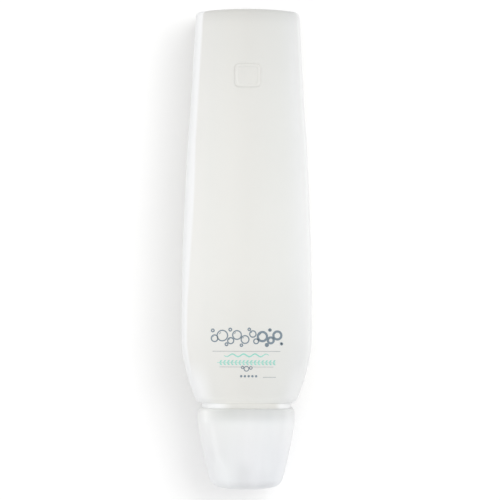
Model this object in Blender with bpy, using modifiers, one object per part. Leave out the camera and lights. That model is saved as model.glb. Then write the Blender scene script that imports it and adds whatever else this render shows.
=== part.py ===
"""A hand soap refill pack: a blow-moulded bottle of liquid soap with a foam pump in its neck and
a pull-off cap over the pump.

The pack is modelled upright, its base at z = 0, its flat back at y = 0 and its neck pointing up,
under an empty that lays it on its back. The pump's pieces are modelled round the neck's axis,
with z = 0 at the bottle's mouth and +z leading out of the bottle.
"""

import math

import bmesh
import bpy
from mathutils import Matrix, Vector

MM = 0.001

# The gap between two pieces that touch, and the running gap of the pump's skirt
FIT = 0.3 * MM
SKIRT_GAP = 0.5 * MM

# Bottle: neck
NECK_HEIGHT = 17.0 * MM
NECK_R = 23.0 * MM
NECK_WALL = 2.5 * MM
NECK_ROOT_STEP = 1.5 * MM
NECK_ROOT_HEIGHT = 3.7 * MM
NECK_BEAD = 1.1 * MM
NECK_BEAD_AT = 5.6 * MM
NECK_BEAD_TO = 2.2 * MM
NECK_FILLET = 0.8 * MM
NECK_ROOT_R = NECK_R + NECK_ROOT_STEP
NECK_BORE_R = NECK_R - NECK_WALL

# Bottle: body, which widens from its base through a waist and a hip to the shoulder
BODY_LENGTH = 267.6 * MM
BOTTLE_WALL = 1.0 * MM
BASE_HALF_WIDTH = 35.1 * MM
WAIST_HALF_WIDTH = 39.2 * MM
HIP_HALF_WIDTH = 40.4 * MM
FULL_HALF_WIDTH = 44.05 * MM
WAIST_AT = 77.0 * MM
HIP_AT = 91.0 * MM
FULL_AT = 205.0 * MM
BASE_DEPTH = 61.5 * MM
FULL_DEPTH = 70.0 * MM
BACK_FLAT = 0.6 * MM
BASE_CORNER = 3.5 * MM
BASE_ARCH = 2.4 * MM
BASE_ARCH_FADE = 24.0 * MM
BASE_PUSH_UP = 2.0 * MM
BODY_SQUARENESS = 10.0
BASE_PANEL = 0.55
BASE_PANEL_RIM = 0.72
BASE_PANEL_FALL = 0.15

# Bottle: raised square on its front
PAD_AT = 46.1 * MM
PAD_HALF_WIDTH = 9.05 * MM
PAD_HALF_LENGTH = 8.1 * MM
PAD_RISE = 0.4 * MM
PAD_RIM_RISE = 0.6 * MM
PAD_RIM_WIDTH = 2.0 * MM
PAD_EDGE = 0.3 * MM
PAD_SQUARENESS = 6.0
PAD_STEPS = 24

# Corners of a ring of the bottle
BOTTLE_STEPS = 40

# Bottle: shoulder, which falls to a corner and a flat land round the neck
SHOULDER_LENGTH = 43.6 * MM
SHOULDER_CURVE = 1.65
SHOULDER_CORNER = 6.9 * MM
SHOULDER_CORNER_START = math.radians(20)
SHOULDER_LAND_SIDE = 3.3 * MM
SHOULDER_LAND_FRONT = 0.6 * MM
SHOULDER_SQUARENESS = 5.0
END_SQUARENESS = 3.2
SHOULDER_AT = BODY_LENGTH - SHOULDER_LENGTH
SHOULDER_END = BODY_LENGTH - SHOULDER_CORNER * (1 - math.sin(SHOULDER_CORNER_START))
SHOULDER_INNER = NECK_ROOT_R + NECK_FILLET + SHOULDER_CORNER * math.cos(SHOULDER_CORNER_START)
SHOULDER_HALF_WIDTH = SHOULDER_INNER + SHOULDER_LAND_SIDE
SHOULDER_HALF_DEPTH = SHOULDER_INNER + SHOULDER_LAND_FRONT
NECK_AXIS_HEIGHT = FULL_DEPTH / 2

# Soap, lying level in the pack, under the air that is left at the front
HEADSPACE = 5.7 * MM
SOAP_GAP = 0.45 * MM
SOAP_ROOM = 1.2 * MM

# Pump body, which fills the neck's bore
GASKET_T = 1.0 * MM
GASKET_INSET = 0.3 * MM
FLANGE_T = 1.6 * MM
FLANGE_INSET = 0.8 * MM
FLANGE_R = NECK_R - FLANGE_INSET
AIR_WALL = 1.4 * MM
AIR_SIDE_ROOM = 1.1 * MM
AIR_R = NECK_BORE_R - AIR_SIDE_ROOM - AIR_WALL
SOAP_CYLINDER_R = 4.6 * MM
SOAP_CYLINDER_WALL = 1.4 * MM
INLET_PORTS = 6
INLET_PORT_R = 0.8 * MM
INLET_PORT_EDGE = 1.7 * MM
INLET_PORT_RING = SOAP_CYLINDER_R - INLET_PORT_EDGE
INLET_VALVE_LAP = 0.4 * MM
INLET_VALVE_T = 1.3 * MM
INLET_VALVE_EDGE = 0.35 * MM
VALVE_STEM_R = 0.7 * MM
VALVE_STEM_GAP = 0.2 * MM
VALVE_BULB = 0.6 * MM
VALVE_TAIL = 1.8 * MM
LEAD = 0.5 * MM

# Closure ring
CLOSURE_T = 1.8 * MM
CLOSURE_WALL = 1.6 * MM
CLOSURE_ROOT_GAP = 0.4 * MM
CLOSURE_SKIRT = NECK_HEIGHT - NECK_ROOT_HEIGHT - CLOSURE_ROOT_GAP
CLOSURE_EDGE = 0.6 * MM
CLOSURE_CATCH = 2.4 * MM
CLOSURE_RIBS = 24
CLOSURE_GROOVE = 0.5 * MM
CLOSURE_GROOVE_R = 0.7 * MM
CLOSURE_BAND_TOP = 2.5 * MM
CLOSURE_BAND_LOW = 1.5 * MM
CLOSURE_R = NECK_R + NECK_BEAD + FIT + CLOSURE_WALL

# Moving pump pieces
STROKE = 12.0 * MM
PISTON_STEP = 2.2 * MM
SKIRT_R = AIR_R - PISTON_STEP
SKIRT_WALL = 1.4 * MM
LIFT_FLANGE_STOP = 1.2 * MM
LIFT_FLANGE = 3.2 * MM
LIFT_FLANGE_T = 1.8 * MM
LIFT_FLANGE_R = SKIRT_R + LIFT_FLANGE
FUNNEL_LENGTH = 6.2 * MM
FUNNEL_EDGE = 2.2 * MM
FUNNEL_EDGE_RISE = 1.6 * MM
FUNNEL_ROOF = 1.6 * MM
NOZZLE_LENGTH = 11.5 * MM
NOZZLE_ROOT = 0.9 * MM
NOZZLE_ROOT_RISE = 1.2 * MM
NOZZLE_BORE_R = 5.0 * MM
NOZZLE_WALL = 1.6 * MM
NOZZLE_TAPER = 0.6 * MM
NOZZLE_LIP = 0.7 * MM
NOZZLE_LIP_LENGTH = 3.4 * MM
MOULDED_EDGE = 0.6 * MM
AIR_VENTS = 4
AIR_VENT_R = 0.9 * MM
INNER_TUBE_WALL = 1.2 * MM
SEAL_BAND_T = 1.0 * MM
SEAL_BAND_LENGTH = 4.7 * MM
SEAL_BAND_WAIST = 0.35 * MM
SEAL_BAND_LIP = 0.5 * MM
SEAL_BAND_SLOPE = 1.0 * MM
PISTON_TOP_STEP = 0.5 * MM
PLATE_T = 1.5 * MM
COLLAR_T = 1.2 * MM
COLLAR_LENGTH = 5.0 * MM
COLLAR_EDGE = 0.4 * MM
HUB_WALL = 1.4 * MM
HUB_LENGTH = 5.3 * MM
HUB_BELOW_PLATE = 4.0 * MM
PISTON_PORTS = 6

# The delivery side's share of the room between hub and collar, and a port's radius in its room
DELIVERY_SHARE = 3.1 / 6.8
PORT_SHARE = 0.22

# Pump: ring valves, stem and its seal
INTAKE_VALVE_STEP = 0.4 * MM
RING_VALVE_T = 0.8 * MM
RING_VALVE_EDGE = 0.4 * MM
STEM_SIDE_ROOM = 1.4 * MM
STEM_WALL = 1.2 * MM
STEM_R = SOAP_CYLINDER_R - STEM_SIDE_ROOM
STEM_BORE_R = STEM_R - STEM_WALL
STEM_ABOVE_HUB = 1.0 * MM
STEM_SEAL_ROOM = 2.7 * MM
STEM_SEAL_WAIST = 0.3 * MM
STEM_COLLAR_T = 1.0 * MM
STEM_COLLAR_GAP = 0.6 * MM
STEM_BELOW_FLOOR = 6.0 * MM
INLET_ROOM = 3.5 * MM
SPRING_WIRE_R = 0.6 * MM
SPRING_TURNS = 5.5
SPRING_END_TURNS = 0.75
SPRING_END_GAP = 0.5 * MM
SPRING_SIDE_GAP = 0.3 * MM
SPRING_ROOM = 4.6 * MM
SPRING_STEPS = 12

# Foaming pieces between the stem and the nozzle's mouth
OUTLET_FLANGE = 0.9 * MM
OUTLET_FLANGE_T = 0.8 * MM
OUTLET_TUBE_STEP = 0.5 * MM
OUTLET_TUBE_LENGTH = 1.8 * MM
OUTLET_WALL = 0.5 * MM
OUTLET_REACH = 4.6 * MM
OUTLET_SLIT = 0.12 * MM
INSERT_WALL = 1.3 * MM
INSERT_ROOM = 0.6 * MM
INSERT_FLANGE_T = 2.2 * MM
INSERT_THROAT_R = 1.7 * MM
INSERT_THROAT_STEP = 0.8 * MM
INSERT_AIR_HOLE_R = 0.7 * MM
INSERT_AIR_HOLE_AT = 2.4 * MM
INSERT_TOP_GAP = 0.4 * MM
SLEEVE_WALL = 0.8 * MM
SLEEVE_SEAT_EDGE = 0.6 * MM
SLEEVE_SEAT_RISE = 4.9 * MM
SCREEN_T = 0.4 * MM
SCREEN_RIM = 1.1 * MM
COARSE_PITCH = 1.5 * MM
COARSE_THREAD = 0.5 * MM
FINE_PITCH = 1.2 * MM
FINE_THREAD = 0.4 * MM

# Overcap, whose rim turns in to fit over the closure ring
CAP_SHOULDER_GAP = 3.1 * MM
CAP_END_GAP = 2.3 * MM
CAP_WALL = 1.3 * MM
CAP_RIM_CORNER = 4.0 * MM
CAP_RIM_FLAT_SIDE = 2.5 * MM
CAP_RIM_FLAT_FRONT = 1.3 * MM
CAP_TAPER = 7.7 * MM
CAP_TAPER_CURVE = 1.35
CAP_STRAIGHT = 8.0 * MM
CAP_END_CORNER = 8.5 * MM
CAP_CORNER_START = math.radians(15)
CAP_CORNER_END = math.radians(77.4)
CAP_SQUARENESS = 4.5
CAP_STEPS = 32

# How far a drill runs past what it cuts, and the angle from which an edge is sharp
DRILL_PAST = 1.0 * MM
SHARP_EDGE = math.radians(35)

# Places along the pump's axis from the bottle's mouth
FLANGE_LOW = FIT + GASKET_T + FIT
FLANGE_TOP = FLANGE_LOW + FLANGE_T
CLOSURE_LOW = FLANGE_TOP + FIT
CLOSURE_TOP = CLOSURE_LOW + CLOSURE_T
SKIRT_REACH = CLOSURE_TOP + STROKE + LIFT_FLANGE_STOP
PISTON_TOP = CLOSURE_LOW - FIT
PLATE_TOP = PISTON_TOP - PISTON_TOP_STEP
PLATE_LOW = PLATE_TOP - PLATE_T
SKIRT_LOW = PLATE_TOP + FIT
HUB_R = STEM_R + FIT + HUB_WALL
COLLAR_R = SKIRT_R - SKIRT_WALL - FIT - COLLAR_T
DELIVERY_ROOM = (COLLAR_R - INNER_TUBE_WALL - HUB_R) * DELIVERY_SHARE
INNER_TUBE_R = HUB_R + DELIVERY_ROOM
INTAKE_ROOM = COLLAR_R - INNER_TUBE_WALL - INNER_TUBE_R
HUB_TOP = PLATE_TOP + HUB_LENGTH
STEM_TOP = HUB_TOP + STEM_ABOVE_HUB
AIR_FLOOR = PLATE_LOW - STROKE - SPRING_TURNS * 2 * SPRING_WIRE_R - SPRING_ROOM
STEM_LOW = AIR_FLOOR - STEM_BELOW_FLOOR
INLET_FLOOR = STEM_LOW - STROKE - INLET_ROOM
INLET_END = INLET_FLOOR - SOAP_CYLINDER_WALL
LEDGE = SKIRT_REACH + LIFT_FLANGE_T
FUNNEL_REACH = LEDGE + FUNNEL_LENGTH
NOZZLE_REACH = FUNNEL_REACH + NOZZLE_LENGTH
FUNNEL_ROOM_LOW = SKIRT_REACH + FIT
SLEEVE_SEAT = FUNNEL_ROOM_LOW + SLEEVE_SEAT_RISE
SLEEVE_END = NOZZLE_REACH - NOZZLE_LIP_LENGTH

# Places along the pack from its base, and the overcap's own sizes
MOUTH_Z = BODY_LENGTH + NECK_HEIGHT
CAP_RIM_Z = BODY_LENGTH + CAP_SHOULDER_GAP
CAP_LENGTH = MOUTH_Z + NOZZLE_REACH + CAP_END_GAP + CAP_WALL - CAP_RIM_Z
PACK_LENGTH = CAP_RIM_Z + CAP_LENGTH
CAP_OPENING_R = CLOSURE_R + FIT
CAP_HALF_WIDTH = CAP_OPENING_R + CAP_RIM_FLAT_SIDE + CAP_RIM_CORNER
CAP_HALF_DEPTH = CAP_OPENING_R + CAP_RIM_FLAT_FRONT + CAP_RIM_CORNER
CAP_CORNER_RISE = CAP_END_CORNER * (math.sin(CAP_CORNER_END) - math.sin(CAP_CORNER_START))
CAP_CORNER_FALL = CAP_END_CORNER * (math.cos(CAP_CORNER_START) - math.cos(CAP_CORNER_END))
CAP_DOME_EDGE = CAP_HALF_WIDTH - CAP_TAPER - CAP_CORNER_FALL
CAP_DOME_RISE = CAP_DOME_EDGE * math.tan((math.pi / 2 - CAP_CORNER_END) / 2)
CAP_CORNER_AT = CAP_LENGTH - CAP_DOME_RISE - CAP_CORNER_RISE


def material(name, colour, roughness, transmission=0.0, metallic=0.0):
    """A Principled material of one colour, which is see-through where transmission is set."""
    made = bpy.data.materials.new(name)
    made.use_nodes = True
    shader = made.node_tree.nodes["Principled BSDF"]
    shader.inputs["Base Color"].default_value = (*colour, 1.0)
    shader.inputs["Roughness"].default_value = roughness
    shader.inputs["Metallic"].default_value = metallic
    shader.inputs["Transmission Weight"].default_value = transmission
    made.diffuse_color = (*colour, 1.0)
    return made


def collection(name):
    """A new collection in the scene."""
    made = bpy.data.collections.new(name)
    bpy.context.scene.collection.children.link(made)
    return made


def empty(name, parent, place, turn=(0, 0, 0)):
    """An empty at a place under its parent, which its pieces are modelled round."""
    made = bpy.data.objects.new(name, None)
    made.empty_display_size = 0.02
    made.location = place
    made.rotation_euler = turn
    made.parent = parent
    PARTS.objects.link(made)
    return made


def add_object(name, mesh, parent, look=None):
    """One sub-part: smooth shaded, with its edges kept sharp, under its parent."""
    made = bpy.data.objects.new(name, mesh)
    made.parent = parent
    PARTS.objects.link(made)
    if look is not None:
        mesh.materials.append(look)
    mesh.shade_smooth()
    mesh.set_sharp_from_angle(angle=SHARP_EDGE)
    return made


def mesh_from(bm, name):
    """A mesh made from a bmesh, which is then freed."""
    mesh = bpy.data.meshes.new(name)
    bm.to_mesh(mesh)
    bm.free()
    return mesh


def turned(name, profile, parent, look=None, steps=32):
    """A turned piece: a closed outline of (radius, z) points, or one that starts and ends on the
    axis. It runs down the outer side, so that its faces point outwards."""
    mesh = bpy.data.meshes.new(name)
    points = [(radius, 0.0, z) for radius, z in profile]
    edges = [(i, i + 1) for i in range(len(points) - 1)]
    if profile[0][0] > 0:
        edges.append((len(points) - 1, 0))
    mesh.from_pydata(points, edges, [])
    made = add_object(name, mesh, parent, look)
    screw = made.modifiers.new("turn", "SCREW")
    screw.axis = "Z"
    screw.steps = steps
    screw.render_steps = steps
    screw.use_merge_vertices = True
    screw.merge_threshold = 0.00001
    screw.use_smooth_shade = True
    return made


def loft(name, rings, parent, look, comes_back=False):
    """A closed skin through rings of equally many points. A ring of one point closes an end. A
    skin that comes back, as on a tube with a wall, joins its last ring to its first."""
    bm = bmesh.new()
    rows = [[bm.verts.new(point) for point in ring] for ring in rings]
    if comes_back:
        rows.append(rows[0])
    for row, after in zip(rows, rows[1:]):
        count = max(len(row), len(after))
        for i in range(count):
            j = (i + 1) % count
            if len(row) == 1:
                bm.faces.new((row[0], after[j], after[i]))
            elif len(after) == 1:
                bm.faces.new((row[i], row[j], after[0]))
            else:
                bm.faces.new((row[i], row[j], after[j], after[i]))
    bmesh.ops.recalc_face_normals(bm, faces=bm.faces)
    return add_object(name, mesh_from(bm, name), parent, look)


def make_cutter(made):
    """Turns an object into a cutter, which isn't part of the pack."""
    PARTS.objects.unlink(made)
    CUTTERS.objects.link(made)
    made.hide_render = True
    made.display_type = "WIRE"
    return made


def boolean(target, tool, operation="DIFFERENCE"):
    """Cuts one object with another, or joins it on."""
    made = target.modifiers.new(tool.name, "BOOLEAN")
    made.operation = operation
    made.solver = "EXACT"
    made.object = tool


def add_rod(bm, radius, low, high, segments=8):
    """Adds a rod along the axis to a bmesh, with its first corner on +x, and gives its corners."""
    rod = bmesh.ops.create_cone(bm, cap_ends=True, segments=segments, radius1=radius,
                                radius2=radius, depth=high - low)
    bmesh.ops.translate(bm, verts=rod["verts"], vec=(0, 0, (low + high) / 2))
    return rod["verts"]


def drill_ring(target, name, count, radius, ring, low, high, turn=0.0):
    """Drills equal round holes through a wall between two heights, evenly spaced on a circle,
    with one cutter for them all."""
    bm = bmesh.new()
    for i in range(count):
        angle = turn + math.tau * i / count
        drill = add_rod(bm, radius, low - DRILL_PAST, high + DRILL_PAST)
        bmesh.ops.translate(bm, verts=drill, vec=(ring * math.cos(angle), ring * math.sin(angle), 0))
    boolean(target, make_cutter(add_object(name, mesh_from(bm, name), target.parent)))


def smooth_through(points, at):
    """A value read from a smooth curve through (place, value) points, which never overshoots:
    cubic pieces whose slopes are the harmonic means of the slopes beside them."""
    if at <= points[0][0]:
        return points[0][1]
    if at >= points[-1][0]:
        return points[-1][1]
    slopes = [(b[1] - a[1]) / (b[0] - a[0]) for a, b in zip(points, points[1:])]
    tangents = [slopes[0]]
    for before, after in zip(slopes, slopes[1:]):
        together = before * after
        tangents.append(2 * together / (before + after) if together > 0 else 0.0)
    tangents.append(slopes[-1])
    for i, (a, b) in enumerate(zip(points, points[1:])):
        if at <= b[0]:
            span = b[0] - a[0]
            t = (at - a[0]) / span
            return ((2 * t ** 3 - 3 * t ** 2 + 1) * a[1] + (t ** 3 - 2 * t ** 2 + t) * span * tangents[i]
                    + (3 * t ** 2 - 2 * t ** 3) * b[1] + (t ** 3 - t ** 2) * span * tangents[i + 1])
    return points[-1][1]


def squared_ring(half_x, low_y, high_y, z, squareness, steps):
    """A ring |x/a|^n + |y/b|^n = 1, which is an ellipse at n = 2 and nears a box as n grows."""
    middle = (low_y + high_y) / 2
    half_y = (high_y - low_y) / 2
    power = 2 / squareness
    ring = []
    for i in range(steps):
        angle = math.tau * i / steps
        across = math.copysign(abs(math.cos(angle)) ** power, math.cos(angle))
        up = math.copysign(abs(math.sin(angle)) ** power, math.sin(angle))
        ring.append(Vector((half_x * across, middle + half_y * up, z)))
    return ring


def bottle_section(z):
    """Half width, back, front and squareness of the bottle's body at a height."""
    widths = [(0, BASE_HALF_WIDTH), (WAIST_AT, WAIST_HALF_WIDTH), (HIP_AT, HIP_HALF_WIDTH),
              (FULL_AT, FULL_HALF_WIDTH), (SHOULDER_AT, FULL_HALF_WIDTH)]
    half_width = smooth_through(widths, z)
    front = smooth_through([(0, BASE_DEPTH), (FULL_AT, FULL_DEPTH), (SHOULDER_AT, FULL_DEPTH)], z)
    back = -BACK_FLAT
    squareness = BODY_SQUARENESS
    if z > SHOULDER_AT:
        along = (z - SHOULDER_AT) / (SHOULDER_END - SHOULDER_AT)
        fall = along ** SHOULDER_CURVE
        half_width -= (FULL_HALF_WIDTH - SHOULDER_HALF_WIDTH) * fall
        front += (NECK_AXIS_HEIGHT + SHOULDER_HALF_DEPTH - FULL_DEPTH) * fall
        back += (NECK_AXIS_HEIGHT - SHOULDER_HALF_DEPTH + BACK_FLAT) * fall
        squareness += (SHOULDER_SQUARENESS - BODY_SQUARENESS) * along
    return half_width, back, front, squareness


def bottle_ring(z, inset, squareness=None, place=None, top=None, floor=0.0):
    """A ring of the bottle's body, moved in by an inset, with its back cut flat and its base end
    arched across the width. It may be placed at another height than the one it is read at."""
    half_width, back, front, own_squareness = bottle_section(z)
    height = z if place is None else place
    ring = squared_ring(half_width - inset, back + inset, front - inset, height,
                        squareness or own_squareness, BOTTLE_STEPS)
    fade = max(0.0, 1 - height / BASE_ARCH_FADE) ** 2
    for point in ring:
        point.y = max(point.y, floor)
        if top is not None:
            point.y = min(point.y, top)
        point.z += BASE_ARCH * (point.x / BASE_HALF_WIDTH) ** 2 * fade
    return ring


def body_rings(wall, floor=0.0, top=None):
    """Rings from the base corner to the end of the shoulder, a wall's thickness inside the skin.
    Inside the bottle, where nothing shows, there are fewer of them."""
    outside = wall == 0
    rings = []
    bend = BASE_CORNER - wall
    for degrees in (0, 30, 60, 90) if outside else (0, 45, 90):
        turn = math.radians(degrees)
        rings.append(bottle_ring(BASE_CORNER, BASE_CORNER - bend * math.sin(turn),
                                 place=BASE_CORNER - bend * math.cos(turn), floor=floor, top=top))
    heights = [BASE_ARCH_FADE, WAIST_AT, HIP_AT, (HIP_AT + FULL_AT) / 2, FULL_AT, SHOULDER_AT]
    if outside:
        heights += [BASE_ARCH_FADE * 0.45, (BASE_ARCH_FADE + WAIST_AT) / 2,
                    (WAIST_AT + HIP_AT) / 2, (HIP_AT * 3 + FULL_AT) / 4]
    fall = SHOULDER_END - SHOULDER_AT
    heights += [SHOULDER_AT + fall * share for share in (0.3, 0.55, 0.8, 1.0)]
    rings += [bottle_ring(height, wall, floor=floor, top=top) for height in sorted(heights)]
    bend = SHOULDER_CORNER - wall
    start = SHOULDER_CORNER_START
    for degrees in (43, 66, 90) if outside else (55, 90):
        turn = math.radians(degrees)
        inset = SHOULDER_CORNER * math.cos(start) - bend * math.cos(turn)
        place = SHOULDER_END - SHOULDER_CORNER * math.sin(start) + bend * math.sin(turn)
        along = (turn - start) / (math.pi / 2 - start)
        squareness = SHOULDER_SQUARENESS + (END_SQUARENESS - SHOULDER_SQUARENESS) * along
        rings.append(bottle_ring(SHOULDER_END, inset, squareness, place, top, floor))
    return rings


def neck_ring(radius, z):
    """A round ring on the neck's axis, at a height from the bottle's mouth."""
    return squared_ring(radius, NECK_AXIS_HEIGHT - radius, NECK_AXIS_HEIGHT + radius, MOUTH_Z + z,
                        2, BOTTLE_STEPS)


def base_panel(wall):
    """The base's rings from its middle out: a panel pushed up into the bottle inside a rim."""
    middle = (BASE_DEPTH - BACK_FLAT) / 2
    rings = [[Vector((0, middle, BASE_PUSH_UP + wall))]]
    for share, rise in ((BASE_PANEL, BASE_PUSH_UP), (BASE_PANEL_RIM, BASE_PUSH_UP * BASE_PANEL_FALL)):
        inset = BASE_HALF_WIDTH * (1 - share)
        rings.append(bottle_ring(BASE_CORNER, inset, BODY_SQUARENESS / 2, rise + wall, floor=wall))
    return rings


def add_pad(bottle):
    """Joins a raised square on to the bottle's front: a rim round a shallow dish, which follow
    the slope of the front."""
    def place(x, along, rise):
        z = PAD_AT + along
        return Vector((x, bottle_section(z)[2] + rise, z))

    def ring(inset, rise):
        outline = squared_ring(PAD_HALF_WIDTH - inset, inset - PAD_HALF_LENGTH,
                               PAD_HALF_LENGTH - inset, 0, PAD_SQUARENESS, PAD_STEPS)
        return [place(point.x, point.y, rise) for point in outline]

    sunk = -BOTTLE_WALL / 2
    rings = [
        [place(0, 0, sunk)], ring(0, sunk), ring(0, PAD_RIM_RISE - PAD_EDGE),
        ring(PAD_EDGE, PAD_RIM_RISE), ring(PAD_RIM_WIDTH, PAD_RIM_RISE),
        ring(PAD_RIM_WIDTH + PAD_EDGE, PAD_RISE), [place(0, 0, PAD_RISE)],
    ]
    boolean(bottle, make_cutter(loft("raised_pad", rings, bottle.parent, None)), "UNION")


def make_bottle(parent, look):
    """The bottle: its outside from the base to the mouth, then its inside back to the base."""
    root_top = NECK_ROOT_HEIGHT - NECK_HEIGHT
    rings = base_panel(0.0) + body_rings(0.0)
    rings += [
        neck_ring(NECK_ROOT_R + NECK_FILLET, -NECK_HEIGHT),
        neck_ring(NECK_ROOT_R, -NECK_HEIGHT + NECK_FILLET),
        neck_ring(NECK_ROOT_R, root_top),
        neck_ring(NECK_R, root_top),
        neck_ring(NECK_R, -NECK_BEAD_AT),
        neck_ring(NECK_R + NECK_BEAD, -NECK_BEAD_AT + NECK_BEAD * 0.5),
        neck_ring(NECK_R + NECK_BEAD, -NECK_BEAD_TO - NECK_BEAD),
        neck_ring(NECK_R, -NECK_BEAD_TO),
        neck_ring(NECK_R, 0),
        neck_ring(NECK_BORE_R, 0),
        neck_ring(NECK_BORE_R, -NECK_HEIGHT - BOTTLE_WALL * 0.5),
    ]
    rings += reversed(body_rings(BOTTLE_WALL, BOTTLE_WALL))
    rings += reversed(base_panel(BOTTLE_WALL))
    bottle = loft("bottle", rings, parent, look)
    add_pad(bottle)
    return bottle


def make_soap(parent, look):
    """The soap: the bottle's inside up to a level, less the room that the pump's body takes."""
    inside = BOTTLE_WALL + SOAP_GAP
    rings = base_panel(inside) + body_rings(inside, inside, FULL_DEPTH - HEADSPACE)
    end = rings[-1][0].z
    rings.append([Vector((0, NECK_AXIS_HEIGHT, end))])
    soap = loft("soap", rings, parent, look)
    wide = AIR_R + AIR_WALL + SOAP_ROOM
    narrow = SOAP_CYLINDER_R + SOAP_CYLINDER_WALL + SOAP_ROOM
    step = AIR_FLOOR - AIR_WALL - SOAP_ROOM
    tip = INLET_END - SOAP_ROOM * 2.5
    profile = [(0, 0), (wide, 0), (wide, step), (narrow, step), (narrow, tip), (0, tip)]
    pump_room = turned("pump_room", profile, parent)
    pump_room.location = (0, NECK_AXIS_HEIGHT, MOUTH_Z)
    boolean(soap, make_cutter(pump_room))
    return soap


def make_closure(axis, look):
    """The closure ring: a skirt with a catch that clips under the neck's bead, and a top wall
    that keeps the pump in. Its outside is ribbed for grip, with a plain band at each end."""
    inner = NECK_R + NECK_BEAD + FIT
    catch = NECK_R + FIT
    low = -CLOSURE_SKIRT
    catch_top = -NECK_BEAD_AT - FIT
    catch_low = catch_top - CLOSURE_CATCH
    slope = CLOSURE_CATCH / 3
    opening = SKIRT_R + SKIRT_GAP
    profile = [
        (CLOSURE_R - CLOSURE_EDGE, CLOSURE_TOP), (CLOSURE_R, CLOSURE_TOP - CLOSURE_EDGE),
        (CLOSURE_R, low), (inner, low), (inner, catch_low), (catch, catch_low + slope),
        (catch, catch_top - slope / 2), (inner, catch_top), (inner, CLOSURE_LOW),
        (opening, CLOSURE_LOW), (opening, CLOSURE_TOP),
    ]
    ring = turned("closure_ring", profile, axis, look, 40)
    bm = bmesh.new()
    for i in range(CLOSURE_RIBS):
        angle = math.tau * (i + 0.5) / CLOSURE_RIBS
        groove = add_rod(bm, CLOSURE_GROOVE_R, low + CLOSURE_BAND_LOW,
                         CLOSURE_TOP - CLOSURE_BAND_TOP, segments=4)
        bmesh.ops.translate(bm, verts=groove, vec=(CLOSURE_R - CLOSURE_GROOVE + CLOSURE_GROOVE_R, 0, 0))
        bmesh.ops.rotate(bm, verts=groove, matrix=Matrix.Rotation(angle, 3, "Z"))
    grooves = mesh_from(bm, "grip_grooves")
    boolean(ring, make_cutter(add_object("grip_grooves", grooves, axis)))
    return ring


def make_gasket(axis, look):
    """A flat washer on the bottle's mouth."""
    outer = NECK_R - GASKET_INSET
    inner = NECK_BORE_R + GASKET_INSET
    low = FIT
    high = low + GASKET_T
    return turned("neck_gasket", [(outer, high), (outer, low), (inner, low), (inner, high)], axis,
                  look)


def make_pump_body(axis, look):
    """The pump's body: flange, air cylinder, spring floor and soap cylinder with its inlet."""
    air = AIR_R + AIR_WALL
    tube = SOAP_CYLINDER_R + SOAP_CYLINDER_WALL
    floor_low = AIR_FLOOR - AIR_WALL
    hole = VALVE_STEM_R + VALVE_STEM_GAP
    profile = [
        (FLANGE_R, FLANGE_TOP), (FLANGE_R, FLANGE_LOW), (air, FLANGE_LOW),
        (air, floor_low + LEAD), (air - LEAD, floor_low), (tube, floor_low),
        (tube, INLET_END + LEAD), (tube - LEAD, INLET_END),
        (hole, INLET_END), (hole, INLET_FLOOR),
        (SOAP_CYLINDER_R, INLET_FLOOR), (SOAP_CYLINDER_R, AIR_FLOOR - LEAD),
        (SOAP_CYLINDER_R + LEAD, AIR_FLOOR), (AIR_R, AIR_FLOOR), (AIR_R, FLANGE_TOP - LEAD),
        (AIR_R + LEAD, FLANGE_TOP),
    ]
    body = turned("pump_body", profile, axis, look, 28)
    drill_ring(body, "inlet_ports", INLET_PORTS, INLET_PORT_R, INLET_PORT_RING, INLET_END,
               INLET_FLOOR)
    return body


def make_inlet_valve(axis, look):
    """The umbrella valve: a thin dome over the inlet ports, held by a stem with a bulb."""
    low = INLET_FLOOR + FIT
    reach = INLET_PORT_RING + INLET_PORT_R + INLET_VALVE_LAP
    end = INLET_END - FIT
    tail = end - VALVE_TAIL
    bulb = VALVE_STEM_R + VALVE_BULB
    profile = [
        (0, low + INLET_VALVE_T), (reach * 0.6, low + INLET_VALVE_T * 0.8),
        (reach, low + INLET_VALVE_EDGE), (reach, low), (VALVE_STEM_R * 1.5, low),
        (VALVE_STEM_R, low - FIT), (VALVE_STEM_R, end), (bulb, end), (bulb, end - VALVE_BULB),
        (VALVE_STEM_R * 0.8, tail), (0, tail),
    ]
    return turned("inlet_valve", profile, axis, look, 16)


def make_spring(axis, look):
    """The return spring: a helix with closed end turns, from the air cylinder's floor to the
    piston's plate."""
    radius = AIR_R - FIT - SEAL_BAND_T - FIT - SPRING_WIRE_R - SPRING_SIDE_GAP
    low = AIR_FLOOR + FIT + SPRING_WIRE_R
    high = PLATE_LOW - FIT - SPRING_WIRE_R
    end_rise = SPRING_END_TURNS * (2 * SPRING_WIRE_R + SPRING_END_GAP)
    path = [(0, low), (SPRING_END_TURNS, low + end_rise),
            (SPRING_TURNS - SPRING_END_TURNS, high - end_rise), (SPRING_TURNS, high)]
    count = round(SPRING_TURNS * SPRING_STEPS) + 1
    curve = bpy.data.curves.new("return_spring", "CURVE")
    curve.dimensions = "3D"
    curve.bevel_depth = SPRING_WIRE_R
    curve.bevel_resolution = 1
    curve.render_resolution_u = 0
    curve.use_fill_caps = True
    spline = curve.splines.new("POLY")
    spline.points.add(count - 1)
    for i in range(count):
        turn = SPRING_TURNS * i / (count - 1)
        angle = math.tau * turn
        height = smooth_through(path, turn)
        spline.points[i].co = (radius * math.cos(angle), radius * math.sin(angle), height, 1)
    made = bpy.data.objects.new("return_spring", curve)
    made.parent = axis
    PARTS.objects.link(made)
    curve.materials.append(look)
    return made


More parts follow.
